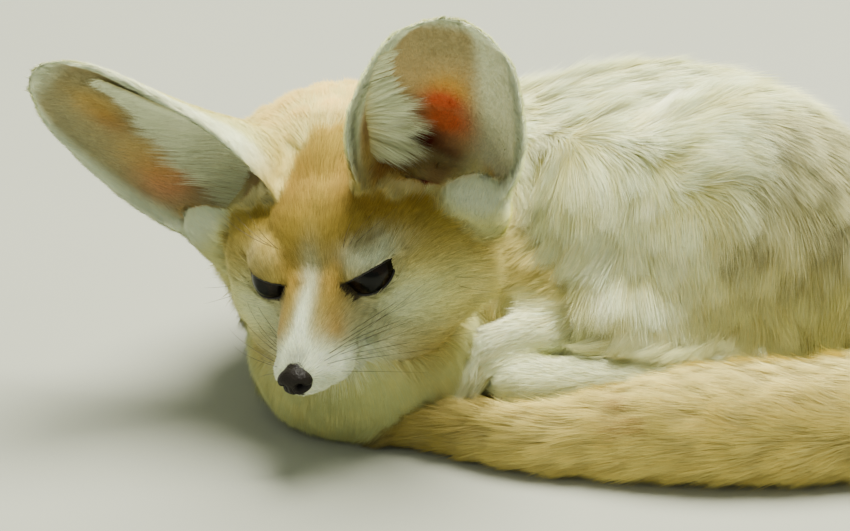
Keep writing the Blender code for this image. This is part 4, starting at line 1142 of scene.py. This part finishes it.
def coat_lengths(skin):
    """The hairs' length and the height of their tips over the skin, at each corner."""
    coat = bpy.context.scene.fennec_coat
    head = moved(skin.corners, np.linalg.inv(head_matrix()))
    hx, hy, hz = np.abs(head[:, 0]), head[:, 1], head[:, 2]
    on_face = coat.face_length / MM * (0.42 + 1.1 * ramp(hy, -58, 10) + 1.0 * ramp(hx, 22, 40) * ramp(hy, -25, 0)
                                       * ramp(-hz, -12, 2))
    on_face += 0.9 * coat.face_length / MM * ramp(-hz, 14, 26) * ramp(hy, -40, -10)
    over_face = 0.9 + 2.2 * ramp(hy, -46, 4) + 3.4 * ramp(hx, 28, 42) * ramp(hy, -16, 4)
    for side in SIDES:
        inside, reach = almond(head, side)
        on_face *= 1 - 0.6 * np.exp(-((inside - 1) / 0.3) ** 2) * (np.abs(reach - EYE_RADIUS) < 5)
    length, depth = skin.shares[:, 0] * on_face, skin.shares[:, 0] * over_face
    for name, long, over in (
            ("torso", coat.body_length, 5.5), ("hind_leg", coat.body_length, 5.2), ("neck", coat.neck_length, 5.5),
            ("tail", coat.tail_length, 5.0), ("foreleg", coat.leg_length, 3.0), ("hind_foot", coat.foot_length, 2.0),
            ("forepaw", coat.foot_length, 2.0), ("ear", coat.ear_length, 1.1)):
        share = skin.part(name)
        length, depth = length + share * long / MM, depth + share * over
    short = 1 - 0.4 * skin.part("neck") * (on_chest(skin.corners) + ramp(skin.corners[:, 2], 84, 104))
    short = short * (0.4 + 0.6 * ramp(skin.corners[:, 2], 1, 9))
    length, depth = length * short, depth * short
    for side in SIDES:
        ear = skin.shares[:, REGIONS.index("ear_" + side)]
        share, across, wall = ear_reading(skin.corners, side)
        rim = ear * np.clip(ramp(np.abs(across), 0.80, 0.95) + ramp(share, 0.94, 1.0), 0, 1)
        length, depth = length + rim * 0.6, (depth + rim * 0.4) * (1 - 0.6 * ear * (wall < 0) * (1 - rim))
        in_cup = (1 - ear) * (share > -0.30) * (share < 0.5) * (np.abs(across) < 1.3) * (wall < 4)
        length, depth = length * (1 - 0.65 * in_cup), depth * (1 - 0.75 * in_cup)
    return length, depth


def comb_coat(row):
    """One piece of the coat from its row of the table."""
    name, regions, thousands, guide_gap, lock_gap, lock_pull, clump, wave, width, slot = row
    coat = bpy.context.scene.fennec_coat
    skin = body()
    weight = skin.part(*regions)
    under = (skin.corners[:, 2] < 3) & (skin.normals[:, 2] < -0.3)
    weight = np.where(weight > 0.5, 1.0, 0.0) * np.where(under, 0.15, 1)
    if name in ("neck_coat", "chest_coat"):
        front = on_chest(skin.corners)
        weight *= front if name == "chest_coat" else 1 - front
    if name == "face_coat":
        local = moved(skin.corners, np.linalg.inv(head_matrix()))
        for side in SIDES:
            inside, reach = almond(local, side)
            weight *= np.where((inside < 1.12) & (np.abs(reach - EYE_RADIUS) < 6), 0, 1)
            route = catmull([mirrored(p, side) for p in MOUTH_ROUTE], 12)
            weight *= 1 - 0.85 * np.exp(-(route_distance(local, route) / 1.2) ** 2)
        weight *= 0.5 + 1.4 * ramp(-local[:, 1], -5, 25)
        weight *= 1 - 0.97 * blob(local, (0, -65, -12), (6.5, 7.5, 5.5))
    lean = np.zeros(len(weight))
    if name == "neck_coat":
        for side in SIDES:
            share, across, wall = ear_reading(skin.corners, side)
            weight *= np.where((share > -0.12) & (share < 0.9) & (wall < 3) & (np.abs(across) < 1.05), 0, 1)
    if name.endswith("ear_coat"):
        side = "left" if name.startswith("left") else "right"
        share, across, wall = ear_reading(skin.corners, side)
        edge = np.clip(ramp(np.abs(across), 0.78, 0.95) + ramp(share, 0.9, 1), 0, 1)
        weight *= np.where(wall > 0, 1.0, 0.45) + 2.0 * edge
        lean += 0.8 * edge
    length, depth = coat_lengths(skin)
    look = {"guide_gap": guide_gap, "lock_gap": lock_gap, "lock_pull": lock_pull, "clump": clump, "length": length,
            "depth": depth, "width": width, "wave": wave, "lean": lean}
    seed = coat.seed + sum(ord(letter) for letter in name)
    comb = Comb(skin, weight, look, np.random.default_rng(seed))
    count = int(thousands * 1000 * coat.density)
    return finished(coat_mesh(name, comb, count, coat.width), fur_material(name))


def ear_wall_points(share, across, out):
    """Places on the scoop of an ear, this far out of its wall, and the way out of it, in the ear's directions."""
    radius, spread = ear_size(share)
    angle = spread * across
    wall = np.stack([np.sin(angle), np.cos(angle), np.zeros(len(angle))], axis=1)
    middle = np.stack([np.zeros(len(angle)), -radius * np.cos(spread), share * EAR_LENGTH], axis=1)
    return middle + wall * (radius + out)[:, None], wall


def ear_fringe(side):
    """Long white hairs in tufts that reach from the fold inside an ear's inner edge across its cup."""
    coat = bpy.context.scene.fennec_coat
    rng = np.random.default_rng(coat.seed + (11 if side == "left" else 12))
    lateral = outer_sign(side)
    look = FRINGES[side]
    count = int(look["thousands"] * 1000 * coat.density)
    low, high = look["shares"]
    share = low + (high - low) * rng.beta(1.3, 1.7, count)
    near, far = look["fold"]
    across = near + (far - near) * rng.random(count) * (1 - look["taper"] * ramp(share, low, high))
    across -= look["slant"] * np.maximum(share - 0.2, 0)
    roots, wall = ear_wall_points(share, across * lateral, np.full(count, -0.3 * EAR_WALL))
    tufts = np.sort(rng.uniform(low, high, look["tufts"]))
    tuft = np.abs(share[:, None] - tufts[None, :]).argmin(axis=1)
    reach = rng.uniform(0.65, 1.15, len(tufts))[tuft]
    reach *= np.clip(1.25 - np.abs(share - look["middle"]) / 0.42, 0.3, 1.1)
    length = look["length"] * coat.fringe_length / MM * reach * rng.uniform(0.3, 1.1, count)
    rise = look["rise"][0] + (look["rise"][1] - look["rise"][0]) * ramp(share, low, 0.55)
    rise += rng.normal(0, 0.06, len(tufts))[tuft] + rng.normal(0, 0.05, count)
    rise += (tufts[tuft] - share) * EAR_LENGTH * 0.7 / length
    way = unit(np.stack([np.full(count, lateral), -rng.uniform(0.0, 0.28, count), rise], axis=1))
    steps = np.linspace(0, 1, 3)
    bend = np.stack([np.zeros(count), rng.uniform(0.05, 0.2, count), np.full(count, look["droop"])], axis=1)
    centres = roots[:, None] + (way[:, None] * steps[None, :, None] + bend[:, None] * (steps ** 2)[None, :, None]) \
        * length[:, None, None]
    if look["cling"]:
        on_wall = []
        for step in steps:
            above = share + way[:, 2] * step * length / EAR_LENGTH
            radius, spread = ear_size(above)
            round_it = across + np.abs(way[:, 0]) * step * length / (radius * spread)
            out = -0.4 * EAR_WALL - 1.2 - 1.8 * step * rng.uniform(0.3, 1.2, count)
            on_wall.append(ear_wall_points(above, round_it * lateral, out)[0])
        centres = np.stack(on_wall, axis=1)
    matrix = head_matrix() @ ear_matrix(side)
    centres = moved(centres.reshape(-1, 3), matrix).reshape(count, 3, 3)
    facing = turned(np.array((0, -1.0, 0)) - 0.3 * wall + rng.normal(0, 0.2, (count, 3)), matrix)
    direction = unit(np.gradient(centres, axis=1))
    sideways = unit(np.cross(direction, unit(facing)[:, None, :]))
    shade = (rng.normal(0.92, 0.10, len(tufts))[tuft] + rng.normal(0, 0.10, count))[:, None]
    root_tone = rng.uniform(0.7, 1.0, count)[:, None] * (0.5 * paints()["cream"] + 0.5 * paints()["pink"])
    tips = paints()["white"] * shade
    middle = blended(root_tone, tips, np.full(count, 0.75))
    tint = np.stack([root_tone, root_tone, middle, middle, tips], axis=1)
    name = side + "_ear_fringe"
    facing = unit(facing)
    obj = hair_mesh(name, centres, sideways, np.full(count, 0.15) * coat.width, (1, 0.8, 0),
                    np.repeat(facing[:, None, :], 5, axis=1), tint, facing)
    return finished(obj, fur_material(name))


def tubes(name, paths, radii, sides=5):
    """Tapering round hairs or rims along equal-length paths, as one mesh; radii has one row per path."""
    paths, radii = np.asarray(paths), np.asarray(radii)
    count, rings = paths.shape[:2]
    direction = unit(np.gradient(paths, axis=1))
    first = unit(np.cross(direction, np.array((0.31, 0.17, 0.93))))
    second = np.cross(direction, first)
    turns = np.linspace(0, 2 * math.pi, sides, endpoint=False)
    round_it = first[:, :, None] * np.cos(turns)[:, None] + second[:, :, None] * np.sin(turns)[:, None]
    corners = paths[:, :, None] + round_it * radii[:, :, None, None]
    triangles = []
    for ring in range(rings - 1):
        for k in range(sides):
            n = (k + 1) % sides
            a, b, c, d = ring * sides + k, ring * sides + n, (ring + 1) * sides + n, (ring + 1) * sides + k
            triangles += [(a, b, c), (a, c, d)]
    for k in range(1, sides - 1):
        triangles.append((0, k + 1, k))
        end = (rings - 1) * sides
        triangles.append((end, end + k, end + k + 1))
    every = (np.arange(count)[:, None, None] * rings * sides + np.array(triangles)[None]).reshape(-1, 3)
    return mesh_object(name, corners.reshape(-1, 3), every)


def skin_piece():
    """The whole skin, with its markings, in place of every node of flesh."""
    skin = body()
    tips, roots = markings(skin.corners, skin.shares)
    bare = np.clip(skin.part("head") + skin.part("ear", "hind_foot", "forepaw"), 0, 1)
    # Painted shade: under the coat the skin is darker than the hair, for the shade deep in the coat.
    tint = blended(roots * 0.45 + tips * 0.45, tips * 0.85, bare)
    obj = mesh_object("skin", skin.corners, skin.triangles, None, np.clip(tint, 0, 1))
    finished(obj, skin_material())
    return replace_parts(obj, *FLESH)


def eye_piece(side):
    """An eyeball with a raised cornea over a dark iris."""
    face = bpy.context.scene.fennec_face
    angles = np.concatenate([np.linspace(0.02, 0.9, 26), np.linspace(0.95, math.pi - 0.02, 22)])
    turns = np.linspace(0, 2 * math.pi, 48, endpoint=False)
    reach = EYE_RADIUS + 0.55 * (1 - ramp(angles, 0.0, 0.72))
    rings = np.stack([np.sin(angles)[:, None] * np.cos(turns), -np.cos(angles)[:, None] * np.ones(48),
                      np.sin(angles)[:, None] * np.sin(turns)], axis=2) * reach[:, None, None]
    corners = rings.reshape(-1, 3) @ eye_turn(side).T + np.array(mirrored(EYE_PLACE, side))
    rows, wide = len(angles), len(turns)
    triangles = []
    for r in range(rows - 1):
        for k in range(wide):
            n = (k + 1) % wide
            a, b, c, d = r * wide + k, r * wide + n, (r + 1) * wide + n, (r + 1) * wide + k
            triangles += [(a, c, b), (a, d, c)]
    for k in range(1, wide - 1):
        triangles.append((0, k, k + 1))
        end = (rows - 1) * wide
        triangles.append((end, end + k + 1, end + k))
    obj = mesh_object("eyeball_" + side, moved(corners, head_matrix()), np.array(triangles))
    gaze = obj.data.attributes.new("gaze", "FLOAT", "POINT")
    gaze.data.foreach_set("value", np.repeat(angles, wide))
    made = Shader("wet_eye_" + side, Roughness=0.25, Specular_IOR_Level=0.1, Coat_Weight=0.14, Coat_Roughness=0.04)
    angle = made.attribute("gaze", output=2)
    rays = made.noise(700, 2.0) * 0.10
    iris = tuple(face.iris)
    pupil = (0.001, 0.001, 0.001)
    stops = [(0.0, pupil), (0.20, pupil), (0.25, iris), (0.40, tuple(0.5 * v for v in iris)),
             (0.46, (0.003, 0.002, 0.001)), (1.0, (0.006, 0.004, 0.003))]
    made.feed("Base Color", made.ramp(angle * 0.5 + rays - 0.05, stops))
    finished(obj, made.material)
    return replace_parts(obj, "eye_" + side)


def lid_piece(side):
    """The dark wet rim of the lids."""
    ring = lid_ring(side, EYE_RADIUS + 0.2, 48)
    path = np.vstack([ring, ring[:2]])
    radii = np.full(len(path), 0.42)
    obj = tubes("lid_rim_" + side, [moved(path, head_matrix())], [radii], 10)
    made = Shader("lid_skin_" + side, Specular_IOR_Level=0.5)
    grain = made.noise(1200, 3.0)
    made.feed("Base Color", made.ramp(grain, [(0.3, (0.004, 0.003, 0.002)), (0.7, (0.012, 0.008, 0.006))]))
    made.feed("Roughness", grain * 0.3 + 0.4)
    made.bump(grain, 0.3, 0.0003)
    return finished(obj, made.material)


def nose_piece():
    """The bare nose pad with its nostrils."""
    head = head_matrix()
    forms = Forms()
    forms.ellipsoid("head", (0, -64, -12), (6.6, 4.6, 5.0), head)
    forms.ellipsoid("head", (0, -60, -9.5), (4.6, 5, 3), head)
    forms.ellipsoid("head", (0, -62, -16), (2.2, 3.4, 3.6), head)
    pad = remeshed(forms, 0.42, False)
    pad.link()
    pad.corners = pad.evened(pad.corners, 6)
    pad.measure()
    local = moved(pad.corners, np.linalg.inv(head))
    normals = turned(pad.normals, np.linalg.inv(head))
    mirror = np.abs(local * (1, 0, 0)) + local * (0, 1, 1)
    dent = 3.4 * blob(mirror, (3.3, -68.0, -12.4), (1.5, 3.0, 1.5))
    dent += 1.3 * blob(mirror, (5.6, -66.6, -13.6), (2.2, 2.4, 0.8))
    dent += 0.6 * np.exp(-(local[:, 0] / 0.5) ** 2) * ramp(-local[:, 2], 10.5, 12.5)
    swell = 0.5 * blob(mirror, (4.2, -67.5, -9.8), (2.6, 3, 1.6))
    local -= normals * (dent - swell)[:, None]
    obj = mesh_object("nose_pad", moved(local, head), pad.triangles)
    nostril_shade = obj.data.attributes.new("nostril_shade", "FLOAT", "POINT")
    nostril_shade.data.foreach_set("value", np.clip(dent / 1.5, 0, 1))
    face = bpy.context.scene.fennec_face
    made = Shader("nose_leather", Specular_IOR_Level=0.18)
    pebbles = made.node("ShaderNodeTexVoronoi", None, Vector=made.where(), Scale=1500.0)
    blotch = made.noise(260, 3.0)
    deep = made.attribute("nostril_shade", output=2)
    colour = tuple(face.nose)
    base = made.mix(blotch, tuple(0.6 * v for v in colour), tuple(1.5 * v for v in colour))
    # Painted shade: the nostril dents are darkened almost to black, for the shade inside the nostrils.
    made.feed("Base Color", made.mix(deep, base, (0.003, 0.002, 0.002)))
    made.feed("Roughness", blotch * 0.25 + 0.28)
    made.bump(pebbles, 0.55, 0.00035)
    finished(obj, made.material)
    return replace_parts(obj, "nose")


def hair_paths(root, way, droop, length, steps=8):
    """A single curved hair, as points from its root."""
    share = np.linspace(0, 1, steps)[:, None]
    return np.array(root, float) + (unit(np.array(way, float)) * share + np.array(droop, float) * share ** 2) * length


def whisker_piece():
    """Whiskers in rows on the muzzle, with the longer single hairs over the eyes and on the cheeks."""
    face = bpy.context.scene.fennec_face
    rng = np.random.default_rng(face.seed)
    head = head_matrix()
    length = face.whisker_length / MM
    paths = []
    for side in SIDES:
        sign = 1 if side == "left" else -1
        for row in range(3):
            for column in range(4):
                root = np.array((sign * (9.5 + 0.9 * column), -57 + 4.2 * column, -8.5 - 2.6 * row))
                root += rng.normal(0, 0.35, 3)
                way = (sign * (0.9 + 0.1 * column), 0.35 + 0.22 * column, 0.28 - 0.30 * row)
                long = length * (0.55 + 0.13 * column) * rng.uniform(0.85, 1.15)
                paths.append(hair_paths(root, way, (-sign * 0.12, 0.25, -0.22 + rng.normal(0, 0.05)), long))
        for k in range(3):
            root = (sign * (13 + 2 * k), -25 + k, 15.5)
            way = (sign * (0.5 + 0.25 * k), -0.15, 1.0 - 0.12 * k)
            paths.append(hair_paths(root, way, (sign * 0.1, 0.4, -0.1), 17 + 2 * k))
        for k in range(2):
            root = (sign * 40, -14, -7 - 3 * k)
            paths.append(hair_paths(root, (sign, -0.35, 0.05 - 0.2 * k), (0, 0.3, -0.1), 18 + 3 * k))
    paths = moved(np.concatenate(paths), head).reshape(len(paths), -1, 3)
    taper = (0.085 * (1 - np.linspace(0, 1, paths.shape[1])) ** 0.8 + 0.012)
    obj = tubes("whiskers", paths, np.tile(taper, (len(paths), 1)), 4)
    made = Shader("whisker_hair", Specular_IOR_Level=0.4)
    grain = made.noise(300, 2.0)
    made.feed("Base Color", made.ramp(grain, [(0.3, (0.02, 0.014, 0.009)), (0.7, (0.07, 0.05, 0.035))]))
    made.feed("Roughness", grain * 0.2 + 0.35)
    return finished(obj, made.material)


def claw_piece():
    """A small curved claw at the end of each toe."""
    paths, radii = [], []
    for routes in (HIND_FOOT, FOREPAW):
        for side in SIDES:
            end, before = np.array(routes[side][-2:][::-1], float)
            ahead = unit((end - before)[:3] * (1, 1, 0))
            across = np.cross(ahead, (0, 0, 1))
            for k in range(4):
                share = (k + 0.5) / 4 * 2 - 1
                tip = end[:3] + across * share * end[3] * 0.78 + ahead * (0.45 * (1 - share * share) + 0.42) * end[3]
                steps = np.linspace(0, 1, 6)[:, None]
                tip = tip - (0, 0, 1.5)
                path = tip + ahead * 2.6 * steps + np.array((0, 0, -2.2)) * steps ** 2
                path[:, 2] = np.maximum(path[:, 2], 0.9)
                paths.append(path)
                radii.append(1.05 * (1 - steps[:, 0]) ** 0.7 + 0.06)
    obj = tubes("claws", paths, radii, 7)
    made = Shader("claw_horn", Specular_IOR_Level=0.5)
    grain = made.noise(500, 2.0)
    made.feed("Base Color", made.ramp(grain, [(0.3, (0.20, 0.16, 0.11)), (0.7, (0.38, 0.31, 0.22))]))
    made.feed("Roughness", grain * 0.2 + 0.3)
    return finished(obj, made.material)


# What a user may change, and the buttons that build each group of pieces.

def length_property(name, text, value):
    return FloatProperty(name=name, description=text, default=value, min=0.0001, max=0.2, precision=4, unit="LENGTH")


def colour_property(name, text, value):
    return FloatVectorProperty(name=name, description=text, default=value, size=3, min=0, max=1, subtype="COLOR")


class FennecForm(bpy.types.PropertyGroup):
    """Sizes of the skin."""
    detail: length_property("Skin detail", "Size of the skin's grid before the face is made finer", 0.0012)


class FennecCoat(bpy.types.PropertyGroup):
    """Lengths and colours of the coat."""
    seed: IntProperty(name="Seed", description="Start of the coat's random draws", default=5, min=0)
    density: FloatProperty(name="Density", description="Share of all the hairs", default=1.0, min=0.05, max=1.2)
    width: FloatProperty(name="Hair width", description="Scale of every strand's width", default=1.0, min=0.2, max=4)
    body_length: length_property("Body hair", "Length of the hair on the trunk and the haunches", 0.021)
    neck_length: length_property("Neck hair", "Length of the hair on the neck and the chest", 0.016)
    tail_length: length_property("Tail hair", "Length of the hair on the tail", 0.018)
    leg_length: length_property("Leg hair", "Length of the hair on the forelegs", 0.010)
    foot_length: length_property("Foot hair", "Length of the hair on the feet", 0.0045)
    face_length: length_property("Face hair", "Length of the hair on the brow", 0.0050)
    ear_length: length_property("Ear down", "Length of the short hair on the ears", 0.0030)
    fringe_length: length_property("Ear fringe", "Length of the white hairs inside the ears", 0.025)
    white: colour_property("White", "Muzzle, cheeks, feet and ear rims", (0.92, 0.99, 0.70))
    cream: colour_property("Cream", "Most of the body", (0.87, 0.85, 0.36))
    gold: colour_property("Gold", "Brow, neck, tail and ear backs", (0.80, 0.57, 0.08))
    orange: colour_property("Orange", "Crown and nape", (0.80, 0.45, 0.05))
    amber: colour_property("Amber", "Streaks from the eyes down the muzzle", (0.66, 0.38, 0.06))
    brown: colour_property("Brown", "Dark ends of locks, lips and folds of the ears", (0.30, 0.15, 0.045))
    # Besides the roots' own grey-brown, this paint is also used as painted shade on the chest and inside the right
    # ear.
    dusk_and_shade: colour_property("Dusk", "Grey-brown roots of the back hair", (0.34, 0.31, 0.15))
    dark: colour_property("Dark", "Tail tip and hair round the lids", (0.035, 0.024, 0.015))
    pink: colour_property("Ear pink", "Bare skin inside the ears", (0.62, 0.46, 0.21))
    # Painted light: the reddish glow of light shining through the thin skin of the ears.
    red: colour_property("Ear red", "Thin lit skin in the middle of each ear", (0.85, 0.16, 0.04))
    # Painted shade: the near-black of the deepest part of each ear's cup.
    canal_shadow: colour_property("Ear canal", "Deepest part of each ear", (0.12, 0.012, 0.004))


class FennecFace(bpy.types.PropertyGroup):
    """Eyes, nose and whiskers."""
    seed: IntProperty(name="Seed", description="Start of the whiskers' random draws", default=3, min=0)
    whisker_length: length_property("Whiskers", "Length of the longest whiskers", 0.060)
    iris: colour_property("Iris", "Dark brown ring of the eye", (0.010, 0.005, 0.003))
    nose: colour_property("Nose", "Leather of the nose pad", (0.011, 0.008, 0.006))


class FennecStage(bpy.types.PropertyGroup):
    """Floor, lights and camera."""
    floor: colour_property("Floor", "Plain pale floor", (0.36, 0.37, 0.30))
    distance: length_property("Camera distance", "From the camera to the middle of the view", 1.8)
    scale: FloatProperty(name="Millimetres a pixel", description="What a pixel covers", default=0.36, min=0.05)
    key: FloatProperty(name="Key light", description="Power of the light behind", default=132.0, unit="POWER")
    fill: FloatProperty(name="Fill light", description="Power of the light before", default=5.0, unit="POWER")


class FENNEC_OT_skin(bpy.types.Operator):
    """Builds the skin that the coat grows on"""
    bl_idname = "fennec.skin"
    bl_label = "Skin"

    def execute(self, context):
        skin_piece()
        return {"FINISHED"}


class FENNEC_OT_face(bpy.types.Operator):
    """Builds the eyes, their lids, the nose and the whiskers"""
    bl_idname = "fennec.face"
    bl_label = "Eyes, nose and whiskers"

    def execute(self, context):
        for side in SIDES:
            eye_piece(side)
            lid_piece(side)
        nose_piece()
        whisker_piece()
        return {"FINISHED"}


class FENNEC_OT_claws(bpy.types.Operator):
    """Builds the claws"""
    bl_idname = "fennec.claws"
    bl_label = "Claws"

    def execute(self, context):
        claw_piece()
        return {"FINISHED"}


class FENNEC_OT_coat(bpy.types.Operator):
    """Builds every piece of the coat"""
    bl_idname = "fennec.coat"
    bl_label = "Coat"

    def execute(self, context):
        for row in COATS:
            comb_coat(row)
        for side in SIDES:
            ear_fringe(side)
        return {"FINISHED"}


class FENNEC_OT_stage(bpy.types.Operator):
    """Lays the floor and sets the lights and the camera"""
    bl_idname = "fennec.stage"
    bl_label = "Stage"

    def execute(self, context):
        lay_floor()
        set_lights()
        set_camera()
        return {"FINISHED"}


class FENNEC_PT_panel(bpy.types.Panel):
    """Buttons and sizes of the fennec fox"""
    bl_idname = "FENNEC_PT_panel"
    bl_label = "Fennec Fox"
    bl_space_type = "VIEW_3D"
    bl_region_type = "UI"
    bl_category = "Fennec"

    def draw(self, context):
        for group in ("fennec_form", "fennec_coat", "fennec_face", "fennec_stage"):
            held = getattr(context.scene, group)
            box = self.layout.box()
            for name in held.__annotations__:
                box.prop(held, name)
        for made in OPERATORS:
            self.layout.operator(made.bl_idname)


GROUPS = {"fennec_form": FennecForm, "fennec_coat": FennecCoat, "fennec_face": FennecFace,
          "fennec_stage": FennecStage}
OPERATORS = (FENNEC_OT_skin, FENNEC_OT_face, FENNEC_OT_claws, FENNEC_OT_coat, FENNEC_OT_stage)


def lay_floor():
    mesh = bpy.data.meshes.new("floor")
    reach = 6.0
    corners = [(x * reach, y * reach, -0.0002) for x, y in ((-1, -1), (1, -1), (1, 1), (-1, 1))]
    mesh.from_pydata(corners, [], [(0, 1, 2, 3)])
    floor = bpy.data.objects.new("floor", mesh)
    bpy.context.scene.collection.objects.link(floor)
    made = Shader("pale_floor", Specular_IOR_Level=0.2)
    pale = tuple(bpy.context.scene.fennec_stage.floor)
    grain = made.noise(6, 3.0)
    made.feed("Base Color", made.mix(grain, tuple(0.95 * v for v in pale), tuple(min(1, 1.05 * v) for v in pale)))
    made.feed("Roughness", grain * 0.1 + 0.8)
    mesh.materials.append(made.material)


def area_light(name, place, aim, power, size, colour):
    light = bpy.data.lights.new(name, "AREA")
    light.energy, light.size, light.color = power, size, colour
    light.shape = "DISK"
    obj = bpy.data.objects.new(name, light)
    obj.location = place
    obj.rotation_euler = (Vector(aim) - Vector(place)).to_track_quat("-Z", "Y").to_euler()
    bpy.context.scene.collection.objects.link(obj)


def set_lights():
    stage = bpy.context.scene.fennec_stage
    area_light("key", (0.35, 0.22, 1.7), (0.02, 0, 0.06), stage.key, 1.4, (1.0, 0.99, 0.90))
    area_light("fill", (-0.9, -1.4, 1.1), (0, 0, 0.06), stage.fill, 1.8, (0.97, 1.0, 0.90))
    world = bpy.data.worlds.new("soft_sky")
    world.use_nodes = True
    sky = world.node_tree.nodes["Background"]
    sky.inputs["Color"].default_value = (0.92, 1.0, 0.84, 1)
    sky.inputs["Strength"].default_value = 0.42
    bpy.context.scene.world = world


def set_camera():
    stage = bpy.context.scene.fennec_stage
    tilt = math.radians(20)
    target = Vector((-0.0742, -0.038, 0.0462))
    camera = bpy.data.objects.new("camera", bpy.data.cameras.new("camera"))
    camera.data.sensor_width = 36
    camera.data.lens = 36 * stage.distance / (850 * stage.scale * MM)
    camera.location = target + Vector((0, -math.cos(tilt), math.sin(tilt))) * stage.distance
    camera.rotation_euler = (math.pi / 2 - tilt, 0, 0)
    camera.data.clip_end = 50
    bpy.context.scene.collection.objects.link(camera)
    bpy.context.scene.camera = camera


def register():
    for made in (*GROUPS.values(), *OPERATORS, FENNEC_PT_panel):
        bpy.utils.register_class(made)
    for name, group in GROUPS.items():
        setattr(bpy.types.Scene, name, PointerProperty(type=group))


def unregister():
    for name in GROUPS:
        delattr(bpy.types.Scene, name)
    for made in (FENNEC_PT_panel, *OPERATORS[::-1], *list(GROUPS.values())[::-1]):
        bpy.utils.unregister_class(made)


def main():
    register()
    for name in ("skin", "face", "claws", "coat", "stage"):
        getattr(bpy.ops.fennec, name)()


if __name__ == "__main__":
    main()
